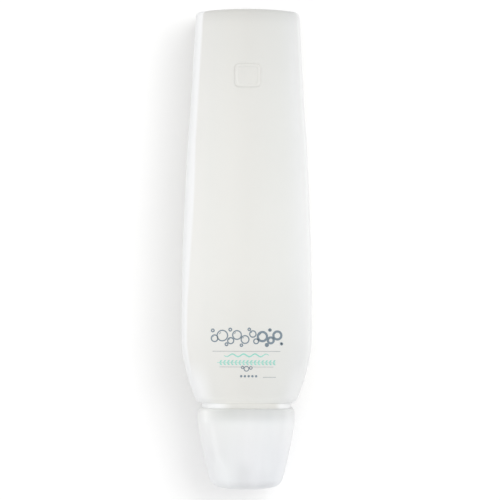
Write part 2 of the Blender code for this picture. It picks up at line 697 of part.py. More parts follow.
def make_actuator(axis, look):
    """The actuator: a skirt that slides in the closure, a lifting flange, a funnel down to the
    nozzle, and an inner tube that closes the mixing space off from the air intake."""
    skirt_in = SKIRT_R - SKIRT_WALL
    tube_out = INNER_TUBE_R + INNER_TUBE_WALL
    nozzle = NOZZLE_BORE_R + NOZZLE_WALL
    tip = nozzle - NOZZLE_TAPER
    mouth = NOZZLE_BORE_R - NOZZLE_LIP
    roof = FUNNEL_ROOM_LOW - FUNNEL_ROOF / 2
    profile = [
        (tip - MOULDED_EDGE, NOZZLE_REACH), (tip, NOZZLE_REACH - MOULDED_EDGE),
        (nozzle, FUNNEL_REACH + NOZZLE_ROOT_RISE), (nozzle + NOZZLE_ROOT, FUNNEL_REACH),
        (SKIRT_R - FUNNEL_EDGE, LEDGE + FUNNEL_EDGE_RISE), (SKIRT_R, LEDGE),
        (LIFT_FLANGE_R - MOULDED_EDGE, LEDGE), (LIFT_FLANGE_R, LEDGE - MOULDED_EDGE),
        (LIFT_FLANGE_R, SKIRT_REACH), (SKIRT_R, SKIRT_REACH), (SKIRT_R, SKIRT_LOW),
        (skirt_in, SKIRT_LOW), (skirt_in, roof), (tube_out, roof + FUNNEL_ROOF),
        (tube_out, SKIRT_LOW), (INNER_TUBE_R, SKIRT_LOW), (INNER_TUBE_R, FUNNEL_ROOM_LOW),
        (NOZZLE_BORE_R, SLEEVE_SEAT - SLEEVE_SEAT_EDGE), (NOZZLE_BORE_R, SLEEVE_END),
        (mouth, SLEEVE_END), (mouth, NOZZLE_REACH),
    ]
    body = turned("actuator", profile, axis, look, 28)
    drill_ring(body, "air_vents", AIR_VENTS, AIR_VENT_R, (skirt_in + tube_out) / 2, roof,
               FUNNEL_REACH, math.tau / AIR_VENTS / 2)
    return body


def make_air_piston(axis, look):
    """The air piston: a seal band with a lip at each end, a plate with two rings of ports, a
    collar inside the skirt and a hub for the stem."""
    band_out = AIR_R - FIT
    band_in = band_out - SEAL_BAND_T
    band_waist = band_out - SEAL_BAND_WAIST
    band_low = PISTON_TOP - SEAL_BAND_LENGTH
    lip_top = PISTON_TOP - SEAL_BAND_LIP
    lip_low = band_low + SEAL_BAND_LIP
    collar_out = COLLAR_R + COLLAR_T
    collar_top = PLATE_TOP + COLLAR_LENGTH
    hub_in = STEM_R + FIT
    hub_low = PLATE_LOW - HUB_BELOW_PLATE
    seat = SKIRT_R + FIT
    profile = [
        (band_waist, PISTON_TOP), (band_out, lip_top), (band_waist, lip_top - SEAL_BAND_SLOPE),
        (band_waist, lip_low + SEAL_BAND_SLOPE), (band_out, lip_low), (band_waist, band_low),
        (band_in, band_low), (band_in, PLATE_LOW), (HUB_R, PLATE_LOW), (HUB_R, hub_low),
        (hub_in, hub_low), (hub_in, HUB_TOP), (HUB_R, HUB_TOP), (HUB_R, PLATE_TOP),
        (COLLAR_R, PLATE_TOP), (COLLAR_R, collar_top - COLLAR_EDGE),
        (collar_out - COLLAR_EDGE, collar_top), (collar_out, collar_top - 2 * COLLAR_EDGE),
        (collar_out, PLATE_TOP), (seat, PLATE_TOP), (seat, PISTON_TOP),
    ]
    piston = turned("air_piston", profile, axis, look, 24)
    drill_ring(piston, "delivery_ports", PISTON_PORTS, DELIVERY_ROOM * PORT_SHARE,
               HUB_R + DELIVERY_ROOM / 2, PLATE_LOW, PLATE_TOP)
    drill_ring(piston, "intake_ports", PISTON_PORTS, INTAKE_ROOM * PORT_SHARE,
               COLLAR_R - INTAKE_ROOM / 2, PLATE_LOW, PLATE_TOP, math.tau / PISTON_PORTS / 2)
    return piston


def ring_valve(name, inner, outer, seat, side, axis, look):
    """A soft ring valve: a thin flap that tapers outwards, lying on a seat, on the side of it
    that the sign gives."""
    thick = seat + side * RING_VALVE_T
    thin = seat + side * RING_VALVE_EDGE
    middle = (inner + outer) / 2
    points = [(inner, thick), (middle, thick), (outer, thin), (outer, seat), (inner, seat)]
    if side < 0:
        points.reverse()
    return turned(name, points, axis, look, 20)


def make_air_valves(axis, look):
    """The ring valves on the air piston's plate: one lets air out round the hub, the other lets
    air in round the inner tube."""
    ring_valve("air_delivery_valve", HUB_R + FIT, INNER_TUBE_R - FIT, PLATE_TOP + FIT, 1, axis,
               look)
    inner = INNER_TUBE_R + INNER_TUBE_WALL + INTAKE_VALVE_STEP
    ring_valve("air_intake_valve", inner, COLLAR_R, PLATE_LOW - FIT, -1, axis, look)


def make_stem(axis, look):
    """The piston's stem: a tube with two collars that hold its seal."""
    collar = SOAP_CYLINDER_R - STEM_COLLAR_GAP
    seal_low = STEM_LOW + STEM_COLLAR_T
    seal_high = seal_low + STEM_SEAL_ROOM
    profile = [
        (STEM_R, STEM_TOP), (STEM_R, seal_high + STEM_COLLAR_T),
        (collar, seal_high + STEM_COLLAR_T), (collar, seal_high), (STEM_R, seal_high),
        (STEM_R, seal_low), (collar, seal_low), (collar, STEM_LOW), (STEM_BORE_R, STEM_LOW),
        (STEM_BORE_R, STEM_TOP),
    ]
    return turned("piston_stem", profile, axis, look, 16)


def make_stem_seal(axis, look):
    """The soap piston's seal: a sleeve with a lip at each end, between the stem's collars."""
    low = STEM_LOW + STEM_COLLAR_T + FIT
    high = STEM_LOW + STEM_COLLAR_T + STEM_SEAL_ROOM - FIT
    outer = SOAP_CYLINDER_R - FIT
    inner = STEM_R + FIT
    waist = (outer - STEM_SEAL_WAIST, (low + high) / 2)
    profile = [(outer, high), waist, (outer, low), (inner, low), (inner, high)]
    return turned("stem_seal", profile, axis, look, 16)


def make_outlet_valve(axis, look):
    """The duckbill valve: a round flange and tube that close into two flat lips with a slit
    between them, outside and then inside."""
    low = STEM_TOP + FIT
    flange_top = low + OUTLET_FLANGE_T
    tube_top = low + OUTLET_TUBE_LENGTH
    tip = low + OUTLET_REACH
    flange = STEM_R + OUTLET_FLANGE
    tube = STEM_R - OUTLET_TUBE_STEP
    bore = tube - OUTLET_WALL
    lips = OUTLET_SLIT + OUTLET_WALL

    def ring(half_x, half_y, z, squareness=2):
        return squared_ring(half_x, -half_y, half_y, z, squareness, 16)

    rings = [
        ring(flange, flange, low), ring(flange, flange, flange_top), ring(tube, tube, flange_top),
        ring(tube, tube, tube_top), ring(tube, lips, tip, 3), ring(bore, OUTLET_SLIT, tip, 3),
        ring(bore, bore, tube_top), ring(bore, bore, low),
    ]
    return loft("outlet_valve", rings, axis, look, comes_back=True)


def make_mixing_insert(axis, look):
    """The mixing insert: a cup over the duckbill with radial air holes, a flange that fills the
    inner tube, and a narrow throat where air and soap meet. The rods of the holes are turned by
    half a side, so that their edges miss those of the cup."""
    low = HUB_TOP + FIT
    flange_out = INNER_TUBE_R - FIT
    flange_top = FUNNEL_ROOM_LOW - INSERT_TOP_GAP
    flange_low = flange_top - INSERT_FLANGE_T
    socket = STEM_R + OUTLET_FLANGE + FIT
    socket_top = STEM_TOP + FIT + OUTLET_FLANGE_T + FIT
    cavity = STEM_R - OUTLET_TUBE_STEP + INSERT_ROOM
    outer = socket + INSERT_WALL
    throat_low = flange_low - INSERT_THROAT_STEP
    profile = [
        (flange_out, flange_top), (flange_out, flange_low), (outer, flange_low), (outer, low),
        (socket, low), (socket, socket_top), (cavity, socket_top), (cavity, throat_low),
        (INSERT_THROAT_R, throat_low + (cavity - INSERT_THROAT_R) / 2),
        (INSERT_THROAT_R, flange_top),
    ]
    insert = turned("mixing_insert", profile, axis, look, 20)
    bm = bmesh.new()
    for i, side in enumerate("YX"):
        bar = add_rod(bm, INSERT_AIR_HOLE_R, -outer - DRILL_PAST, outer + DRILL_PAST)
        bmesh.ops.rotate(bm, verts=bar, matrix=Matrix.Rotation(math.pi / 8, 3, "Z"))
        height = socket_top + INSERT_AIR_HOLE_AT + i * 2.2 * INSERT_AIR_HOLE_R
        bmesh.ops.rotate(bm, verts=bar, matrix=Matrix.Rotation(math.pi / 2, 3, side))
        bmesh.ops.translate(bm, verts=bar, vec=(0, 0, height))
    boolean(insert, make_cutter(add_object("air_holes", mesh_from(bm, "air_holes"), axis)))
    return insert


def make_sleeve(axis, look):
    """The mesh sleeve: a short tube in the nozzle with a screen on each end."""
    outer = NOZZLE_BORE_R - FIT
    inner = outer - SLEEVE_WALL
    low = SLEEVE_SEAT + SCREEN_T + FIT
    high = SLEEVE_END - FIT - SCREEN_T - FIT
    profile = [(outer, high), (outer, low), (inner, low), (inner, high)]
    return turned("mesh_sleeve", profile, axis, look, 24)


def make_screen(name, low, pitch, thread, axis, look):
    """A screen: a thin disc with a grid of square holes, all within its welded rim."""
    outer = NOZZLE_BORE_R - FIT
    high = low + SCREEN_T
    disc = turned(name, [(0, high), (outer, high), (outer, low), (0, low)], axis, look, 24)
    rim = outer - SCREEN_RIM
    hole = pitch - thread
    reach = int(rim / pitch)
    stretch = (SCREEN_T + 2 * DRILL_PAST) / hole
    bm = bmesh.new()
    for i in range(-reach, reach + 1):
        for j in range(-reach, reach + 1):
            corner = math.hypot(abs(i * pitch) + hole / 2, abs(j * pitch) + hole / 2)
            if corner > rim:
                continue
            made = bmesh.ops.create_cube(bm, size=hole)
            place = (i * pitch, j * pitch, (low + high) / 2)
            bmesh.ops.scale(bm, verts=made["verts"], vec=(1, 1, stretch))
            bmesh.ops.translate(bm, verts=made["verts"], vec=place)
    holes = add_object(name + "_holes", mesh_from(bm, name + "_holes"), axis)
    boolean(disc, make_cutter(holes))
    return disc


def cap_section(z):
    """How far the overcap's side has tapered in at a distance from its rim."""
    straight = max(0.0, z - CAP_STRAIGHT) / (CAP_CORNER_AT - CAP_STRAIGHT)
    return CAP_TAPER * straight ** CAP_TAPER_CURVE


def cap_ring(inset, z, squareness=CAP_SQUARENESS):
    """A ring of the overcap, moved in from its widest section."""
    return squared_ring(CAP_HALF_WIDTH - inset, -CAP_HALF_DEPTH + inset, CAP_HALF_DEPTH - inset, z,
                        squareness, CAP_STEPS)


def cap_side(wall):
    """Rings from the rim's corner to the middle of the dome, a wall's thickness inside."""
    rings = []
    bend = CAP_RIM_CORNER - wall
    for degrees in (90, 60, 30, 0):
        turn = math.radians(degrees)
        inset = CAP_RIM_CORNER - bend * math.cos(turn)
        rings.append(cap_ring(inset, CAP_RIM_CORNER - bend * math.sin(turn)))
    for share in (0.0, 0.33, 0.66, 1.0):
        z = CAP_STRAIGHT + (CAP_CORNER_AT - CAP_STRAIGHT) * share
        rings.append(cap_ring(cap_section(z) + wall, z))
    bend = CAP_END_CORNER - wall
    centre = CAP_CORNER_AT - CAP_END_CORNER * math.sin(CAP_CORNER_START)
    base_inset = CAP_TAPER + CAP_END_CORNER * math.cos(CAP_CORNER_START)
    for share in (0.33, 0.66, 1.0):
        turn = CAP_CORNER_START + (CAP_CORNER_END - CAP_CORNER_START) * share
        rings.append(cap_ring(base_inset - bend * math.cos(turn), centre + bend * math.sin(turn)))
    edge = rings[-1][0]
    for share in (0.6, 0.28):
        rise = (CAP_LENGTH - wall - edge.z) * (1 - share ** 2)
        rings.append(cap_ring(CAP_HALF_WIDTH - edge.x * share, edge.z + rise,
                              2 + (CAP_SQUARENESS - 2) * share))
    rings.append([Vector((0, 0, CAP_LENGTH - wall))])
    return rings


def make_overcap(axis, look):
    """The overcap: a rounded square shell whose rim turns in to a round opening that fits over
    the closure ring. Its thin inner ribs are left to scene.py."""
    def lip(radius, z):
        return squared_ring(radius, -radius, radius, z, 2, CAP_STEPS)

    rings = list(reversed(cap_side(0.0)))
    rings += [lip(CAP_OPENING_R, 0), lip(CAP_OPENING_R, CAP_WALL)]
    rings += cap_side(CAP_WALL)
    return loft("overcap", rings, axis, look)


def build():
    """Makes the materials, the axes and every sub-part of the pack."""
    bottle_plastic = material("bottle_plastic", (0.86, 0.85, 0.80), 0.35)
    cap_plastic = material("cap_plastic", (0.86, 0.90, 0.93), 0.30, transmission=0.6)
    pump_plastic = material("pump_plastic", (0.90, 0.90, 0.89), 0.40)
    frame_plastic = material("frame_plastic", (0.78, 0.80, 0.82), 0.40)
    silicone = material("silicone", (0.80, 0.84, 0.86), 0.50)
    gasket_foam = material("gasket_foam", (0.92, 0.92, 0.90), 0.70)
    screen_nylon = material("screen_nylon", (0.93, 0.93, 0.90), 0.60)
    spring_steel = material("spring_steel", (0.62, 0.62, 0.63), 0.25, metallic=1.0)
    soap_liquid = material("soap_liquid", (0.80, 0.86, 0.84), 0.05, transmission=0.5)

    pack = empty("pack_on_its_back", None, (0, PACK_LENGTH / 2, 0), (math.pi / 2, 0, 0))
    neck = empty("neck_axis", pack, (0, NECK_AXIS_HEIGHT, MOUTH_Z))
    stroke = empty("pump_stroke_axis", pack, (0, NECK_AXIS_HEIGHT, MOUTH_Z))
    cap_axis = empty("cap_pull_axis", pack, (0, NECK_AXIS_HEIGHT, CAP_RIM_Z))

    make_bottle(pack, bottle_plastic)
    make_soap(pack, soap_liquid)
    make_closure(neck, pump_plastic)
    make_gasket(neck, gasket_foam)
    make_pump_body(neck, frame_plastic)
    make_inlet_valve(neck, silicone)
    make_spring(neck, spring_steel)

    make_actuator(stroke, pump_plastic)
    make_air_piston(stroke, frame_plastic)
    make_air_valves(stroke, silicone)
    make_stem(stroke, frame_plastic)
    make_stem_seal(stroke, silicone)
    make_outlet_valve(stroke, silicone)
    make_mixing_insert(stroke, frame_plastic)
    make_sleeve(stroke, frame_plastic)
    make_screen("coarse_screen", SLEEVE_SEAT, COARSE_PITCH, COARSE_THREAD, stroke, screen_nylon)
    make_screen("fine_screen", SLEEVE_END - FIT - SCREEN_T, FINE_PITCH, FINE_THREAD, stroke,
                screen_nylon)

    make_overcap(cap_axis, cap_plastic)


for old in list(bpy.data.objects):
    bpy.data.objects.remove(old, do_unlink=True)
PARTS = collection("hand_soap_refill_pack")
CUTTERS = collection("cutters")
build()
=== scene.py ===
"""Looks of a hand soap refill pack that lies on its back, over its packed CAD model.

The CAD model is loaded as a fixed frame, in metres. In the names here, "along" is the distance
from the bottle's base end towards the pump, "up" is the height over the floor, and "out" is the
distance along the pump's axis from the bottle's mouth.
"""

import math

import bpy
import numpy as np
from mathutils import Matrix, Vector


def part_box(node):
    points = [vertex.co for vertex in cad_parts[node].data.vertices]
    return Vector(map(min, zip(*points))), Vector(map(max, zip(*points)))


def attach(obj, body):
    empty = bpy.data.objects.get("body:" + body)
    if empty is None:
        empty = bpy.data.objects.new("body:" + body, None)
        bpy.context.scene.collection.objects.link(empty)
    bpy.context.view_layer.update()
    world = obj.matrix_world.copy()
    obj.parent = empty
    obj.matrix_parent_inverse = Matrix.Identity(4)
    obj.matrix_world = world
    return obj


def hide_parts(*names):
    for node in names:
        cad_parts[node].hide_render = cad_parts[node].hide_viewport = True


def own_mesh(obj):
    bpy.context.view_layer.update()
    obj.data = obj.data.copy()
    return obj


bl_info = {
    "name": "Hand soap refill pack",
    "version": (1, 0, 0),
    "blender": (4, 5, 0),
    "location": "3D View > Sidebar > Refill pack",
    "description": "Draws a refill pack of hand soap with its foam pump and pull-off cover",
    "category": "Object",
}

MM = 0.001
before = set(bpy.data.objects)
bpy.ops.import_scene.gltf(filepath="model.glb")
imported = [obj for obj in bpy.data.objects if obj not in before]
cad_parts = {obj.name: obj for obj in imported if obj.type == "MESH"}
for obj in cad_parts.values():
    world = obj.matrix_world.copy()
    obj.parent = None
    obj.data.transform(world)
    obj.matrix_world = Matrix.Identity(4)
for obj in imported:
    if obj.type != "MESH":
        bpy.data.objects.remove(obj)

BOTTLE_LOW, BOTTLE_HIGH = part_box("bottle")
COVER_LOW, COVER_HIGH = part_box("overcap")
BASE_Y, MOUTH_Y = BOTTLE_HIGH[1], BOTTLE_LOW[1]
AXIS_UP = sum(corner[2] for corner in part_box("closure_ring")) / 2
# The angle from which an edge is drawn sharp
SHARP = math.radians(30)


# Points on surfaces


def laid(x, along, up):
    """Points of the bottle in the frame, from their place across, along and up."""
    return np.stack(np.broadcast_arrays(x, BASE_Y - along, up), axis=-1)


def round_pump(x, up, out):
    """Points in the frame, from their place across, up from and out along the pump's axis."""
    return np.stack(np.broadcast_arrays(x, MOUTH_Y - out, AXIS_UP + up), axis=-1)


def circled(radius, angles, out):
    """Points round the pump's axis: across r cos, up r sin, and out along it."""
    return round_pump(radius * np.cos(angles), radius * np.sin(angles), out)


def even_angles(count):
    """Even angles once round."""
    return math.tau * np.arange(count) / count


def smooth_through(points, at):
    """Values read from a smooth curve through (place, value) points, which never overshoots:
    cubic pieces whose slopes are the harmonic means of the slopes beside them."""
    places, values = np.array(points, float).T
    slopes = np.diff(values) / np.diff(places)
    before, after = slopes[:-1], slopes[1:]
    same_way = before * after > 0
    means = np.where(same_way, 2 * before * after / np.where(same_way, before + after, 1), 0)
    tangents = np.concatenate([slopes[:1], means, slopes[-1:]])
    at = np.clip(at, places[0], places[-1])
    i = np.clip(np.searchsorted(places, at) - 1, 0, len(places) - 2)
    span = places[i + 1] - places[i]
    t = (at - places[i]) / span
    rise = 3 * t ** 2 - 2 * t ** 3
    bow = (t ** 3 - 2 * t ** 2 + t) * tangents[i] + (t ** 3 - t ** 2) * tangents[i + 1]
    return (1 - rise) * values[i] + rise * values[i + 1] + span * bow


def smooth_step(low, high, at):
    """0 below low, 1 above high and 3t^2 - 2t^3 between them."""
    t = np.clip((at - low) / (high - low), 0, 1)
    return t * t * (3 - 2 * t)


def bell(at, middle, width):
    """exp(-d^2) of the distance d from a middle, in widths."""
    return np.exp(-((at - middle) / width) ** 2)


def corner_angles(count, corner, crowding=1.5):
    """Angles once round, crowded towards the corner of each quarter: the step shrinks as a power
    of the distance from it."""
    t = np.arange(count // 4) / (count // 4)

    def quarter(t):
        near = corner * (1 - np.clip(1 - 2 * t, 0, 1) ** crowding)
        return near + (math.pi / 2 - corner) * np.clip(2 * t - 1, 0, 1) ** crowding

    back = quarter(1 - t)
    return np.concatenate([quarter(t), math.pi - back, math.pi + quarter(t), math.tau - back])


def squared_rows(half, low, high, squareness, angles):
    """Rows of x and up on |x/a|^n + |y/b|^n = 1 about the middle of low and high, by its polar
    form: the distance from the middle is (|cos/a|^n + |sin/b|^n)^(-1/n)."""
    a, low, high, n = (v if np.ndim(v) > 1 else np.reshape(v, (-1, 1))
                       for v in (half, low, high, squareness))
    b, middle = (high - low) / 2, (low + high) / 2
    distance = (np.abs(np.cos(angles) / a) ** n + np.abs(np.sin(angles) / b) ** n) ** (-1 / n)
    return distance * np.cos(angles), middle + distance * np.sin(angles)


def rounded(corners, radius, steps, closed=True):
    """An outline whose corners are rounded: each becomes the curve (1-t)^2 A + 2t(1-t) P + t^2 B
    from a point A before it to a point B after it. An open one keeps its first and last corner."""
    corners = np.array(corners, float)
    reach = np.broadcast_to(np.asarray(radius, float), len(corners))
    if not closed:
        reach = np.concatenate([[0], reach[1:-1], [0]])
    ends = []
    for step in (1, -1):
        way = np.roll(corners, step, axis=0) - corners
        length = np.hypot(*way.T)
        share = np.minimum(reach, 0.45 * length) / length
        ends.append((corners + way * share[:, None])[:, None])
    t = np.linspace(0, 1, steps)[None, :, None]
    points = (1 - t) ** 2 * ends[0] + 2 * t * (1 - t) * corners[:, None] + t ** 2 * ends[1]
    points = points.reshape(-1, 2)
    apart = np.hypot(*(points - np.roll(points, 1, axis=0)).T) > 1e-7
    apart[0] |= not closed
    return points[apart]


# Meshes


def skin(grid, comes_back=False):
    """A closed skin over a grid of points, whose rows are closed rings. It joins its last row to
    its first if it comes back, and otherwise closes each end with a fan to the ring's middle."""
    rows, columns = grid.shape[:2]
    index = np.arange(rows * columns).reshape(rows, columns)
    if comes_back:
        index = np.vstack([index, index[:1]])
    beside = np.roll(index, -1, axis=1)
    quads = np.stack([index[:-1], beside[:-1], beside[1:], index[1:]], axis=-1).reshape(-1, 4)
    points, fans = grid.reshape(-1, 3), np.empty((0, 3), int)
    if not comes_back:
        low = np.full(columns, len(points))
        points = np.vstack([points, grid[0].mean(axis=0), grid[-1].mean(axis=0)])
        fans = np.vstack([np.stack([beside[0], index[0], low], axis=-1),
                          np.stack([index[-1], beside[-1], low + 1], axis=-1)])
    a, b, c = points[np.vstack([quads[:, :3], quads[:, [0, 2, 3]], fans]).T]
    if (a * np.cross(b, c)).sum() < 0:
        quads, fans = quads[:, ::-1], fans[:, ::-1]
    return points, quads, fans


def piece(name, skins, look, **attributes):
    """One object from closed skins, at the origin, with its place in its mesh. Its attributes
    hold a value for each point."""
    faces, start = [], 0
    for own, quads, fans in skins:
        faces += (quads + start).tolist() + (fans + start).tolist()
        start += len(own)
    mesh = bpy.data.meshes.new(name)
    mesh.from_pydata(np.vstack([own for own, _, _ in skins]).tolist(), [], faces)
    for key, values in attributes.items():
        made = mesh.attributes.new(key, "FLOAT", "POINT")
        made.data.foreach_set("value", np.resize(values, start).astype(np.float32))
    mesh.shade_smooth()
    mesh.set_sharp_from_angle(angle=SHARP)
    mesh.materials.append(look)
    made = bpy.data.objects.new(name, mesh)
    bpy.context.scene.collection.objects.link(made)
    return made


def turned_grid(profile, steps):
    """A profile of (radius, out) points carried round the pump's axis."""
    return circled(profile[:, :1], even_angles(steps), profile[:, 1:])


def tube(path, first, second, radius, sides):
    """A round tube carried along a path of points, with two directions across it at each."""
    angles = even_angles(sides)[:, None]
    return path[:, None] + radius * (first[:, None] * np.cos(angles)
                                     + second[:, None] * np.sin(angles))


def drill(target, centres, radius, low, high):
    """Cuts round holes along the pump's axis, and keeps the result as the piece's own mesh."""
    angles, ends = even_angles(32), np.array([[low], [high]])
    rods = [skin(round_pump(x + radius * np.cos(angles), up + radius * np.sin(angles), ends))
            for x, up in centres]
    cutter = piece("drill", rods, target.data.materials[0])
    holes = target.modifiers.new("holes", "BOOLEAN")
    holes.solver, holes.object = "EXACT", cutter
    bpy.context.view_layer.update()
    cut = target.evaluated_get(bpy.context.evaluated_depsgraph_get())
    done = bpy.data.meshes.new_from_object(cut)
    target.modifiers.clear()
    target.data = done
    done.set_sharp_from_angle(angle=SHARP)
    bpy.data.objects.remove(cutter, do_unlink=True)


# Materials


def new_look(name, colour, roughness, **settings):
    """A material whose Principled shader has these values. Returns it with its node tree."""
    look = bpy.data.materials.new(name)
    look.use_nodes = True
    look.diffuse_color = (*colour, 1)
    inputs = look.node_tree.nodes["Principled BSDF"].inputs
    for key, value in {"Base Color": (*colour, 1), "Roughness": roughness, **settings}.items():
        inputs[key.replace("_", " ")].default_value = value
    return look, look.node_tree


def add_node(tree, kind, inputs=(), **settings):
    """A shader node with its settings and the values or links of its inputs."""
    made = tree.nodes.new("ShaderNode" + kind)
    for key, value in settings.items():
        setattr(made, key, value)
    for key, value in dict(inputs).items():
        if isinstance(value, bpy.types.NodeSocket):
            tree.links.new(value, made.inputs[key])
        else:
            made.inputs[key].default_value = value
    return made


def to_shader(tree, socket, value):
    """Links a value to an input of the material's Principled shader."""
    tree.links.new(value, tree.nodes["Principled BSDF"].inputs[socket])


def attribute(tree, name):
    """A value that each of the piece's points holds."""
    return add_node(tree, "Attribute", attribute_name=name).outputs["Fac"]


def object_place(tree):
    """The place in object space."""
    return add_node(tree, "TexCoord").outputs["Object"]


def carried(tree, value, low, high, to_low=0.0, to_high=1.0):
    """A value carried from one range to another, and held at its ends."""
    made = add_node(tree, "MapRange", {"Value": value, "From Min": low, "From Max": high,
                                       "To Min": to_low, "To Max": to_high})
    return made.outputs["Result"]


def on_axis(tree, axis, low, high):
    """The place on an axis, from 0 at its low end to 1 at its high end."""
    place = add_node(tree, "SeparateXYZ", {"Vector": object_place(tree)})
    return carried(tree, place.outputs[axis], low, high)


def grain(tree, scale, detail=2.0, stretch=(1, 1, 1)):
    """Noise in object space, with so many cells in a metre."""
    place = object_place(tree)
    if stretch != (1, 1, 1):
        place = add_node(tree, "Mapping", {"Vector": place, "Scale": stretch}).outputs["Vector"]
    made = add_node(tree, "TexNoise", {"Vector": place, "Scale": scale, "Detail": detail})
    return made.outputs["Fac"]


def spread(tree, factor, low, high):
    """A noise's middle part spread between two values."""
    return carried(tree, factor, 0.3, 0.7, low, high)


def mixed(tree, factor, first, second, way="MIX"):
    """Two colours mixed by a factor. Returns the colour's socket."""
    return add_node(tree, "Mix", {"Factor": factor, "A": first, "B": second},
                    data_type="RGBA", blend_type=way).outputs["Result"]


def mottled(tree, colour, factor, strength):
    """A colour that gets a little darker and lighter with a factor."""
    dark, light = ((*(min(1.0, c * share) for c in colour), 1)
                   for share in (1 - strength, 1 + strength))
    return mixed(tree, spread(tree, factor, 0, 1), dark, light)


def shaded(tree, tint, factor, stops):
    """Multiplies a colour by another, which a ramp of (place, red, green, blue) stops gives."""
    ramp = add_node(tree, "ValToRGB", {"Fac": factor})
    while len(ramp.color_ramp.elements) < len(stops):
        ramp.color_ramp.elements.new(0.5)
    for element, (at, *value) in zip(ramp.color_ramp.elements, stops):
        element.position = at
        element.color = (*value, 1)
    return mixed(tree, 1.0, tint, ramp.outputs["Color"], "MULTIPLY")


def bumps(tree, height, depth, strength):
    """Bump from a height, so many millimetres deep."""
    made = add_node(tree, "Bump", {"Height": height, "Distance": depth * MM, "Strength": strength})
    to_shader(tree, "Normal", made.outputs["Normal"])


def grained(tree, rough=None, bump=None):
    """Roughness and bump from grains. Each is what a grain takes, and then the two roughnesses,
    or the bump's depth in millimetres and its strength."""
    if rough:
        *cells, low, high = rough
        to_shader(tree, "Roughness", spread(tree, grain(tree, *cells), low, high))
    if bump:
        *cells, depth, strength = bump
        bumps(tree, grain(tree, *cells), depth, strength)


def plain_look(name, colour, roughness, mottle, rough=None, bump=None, **settings):
    """A material of one colour, mottled by a grain. Mottle is what the grain takes, and then how
    strong it is."""
    look, tree = new_look(name, colour, roughness, **settings)
    *cells, strength = mottle
    to_shader(tree, "Base Color", mottled(tree, colour, grain(tree, *cells), strength))
    grained(tree, rough, bump)
    return look


# Painted light and shade on the plastic along the bottle, from its mouth to its base end, lighter
# at the land round the neck and darker towards the base end, and across it, lighter at both edges
# and bluer at the right one
PAINTED_SHADE_ALONG = tuple((at, value, value, value) for at, value in (
    (0.0635, 0.945), (0.0645, 1.2), (0.071, 1.05), (0.08, 0.96), (0.2, 0.97), (0.38, 1.005),
    (0.5, 1.0), (0.6, 0.985), (0.785, 0.957), (0.904, 0.915), (0.951, 0.905), (0.965, 0.885),
    (0.985, 0.815), (1.0, 0.79)))
PAINTED_LIGHT_ACROSS = ((0.0, 1.06, 1.06, 1.07), (0.075, 1.05, 1.055, 1.065), (0.2, 1.01, 1.02, 1.025),
          (0.35, 1.0, 1.005, 1.005), (0.5, 0.975, 0.98, 0.98), (0.65, 0.97, 0.982, 0.987),
          (0.8, 0.968, 0.987, 1.0), (0.925, 0.98, 1.0, 1.04), (0.97, 1.06, 1.08, 1.12),
          (1.0, 1.1, 1.12, 1.16))


def blown_plastic(colours):
    """Satin blow-moulded polyethylene: ivory where the soap lies behind it, and paler and cooler
    round its edges, partly the plastic with less soap behind it and partly a painted highlight. It
    holds painted shade along it and painted light across it, faint clouds and a fine grain."""
    look, tree = new_look("blown_plastic", colours.face, 0.34, Subsurface_Weight=0.15,
                          Subsurface_Scale=0.003, Subsurface_Radius=(1, 1, 1), IOR=1.5,
                          Specular_IOR_Level=0.45)
    face = mottled(tree, colours.face, grain(tree, 38, 3.0, (1, 0.35, 1)), 0.008)
    # Painted shade along the bottle and painted light across it
    face = shaded(tree, face, on_axis(tree, 1, MOUTH_Y, BASE_Y), PAINTED_SHADE_ALONG)
    face = shaded(tree, face, carried(tree, attribute(tree, "side"), -1.0, 1.0), PAINTED_LIGHT_ACROSS)
    # The pale edge colour: partly paler plastic round the edges, partly a painted highlight
    face = mixed(tree, attribute(tree, "edge"), face, (*colours.edge, 1))
    to_shader(tree, "Base Color", face)
    grained(tree, (160, 3.0, 0.36, 0.5), (2600, 3.0, 0.03, 0.5))
    return look


# Painted shade on the cover across it, from left to right, and along it, from its end to its rim, a
# little darker and bluer towards the end
COVER_PAINTED_SHADE_ACROSS = ((0.0, 1.0, 1.0, 1.0), (0.3, 0.98, 0.992, 0.987), (0.5, 0.988, 0.993, 1.0),
                (0.75, 0.975, 0.988, 1.0), (1.0, 0.985, 0.99, 1.0))
COVER_PAINTED_SHADE_ALONG = ((0.0, 0.975, 0.98, 1.0), (0.25, 0.983, 0.988, 1.0), (0.5, 0.99, 0.992, 1.0),
               (0.72, 1.0, 1.0, 1.0), (0.87, 0.995, 1.0, 0.995), (1.0, 1.0, 1.0, 0.985))
# How much its outer and inner skins let through clear, times what the least and most milky do
COVER_CLEAR, MILK_CLEAR = (0.13, 0.88), (1.35, 0.2)


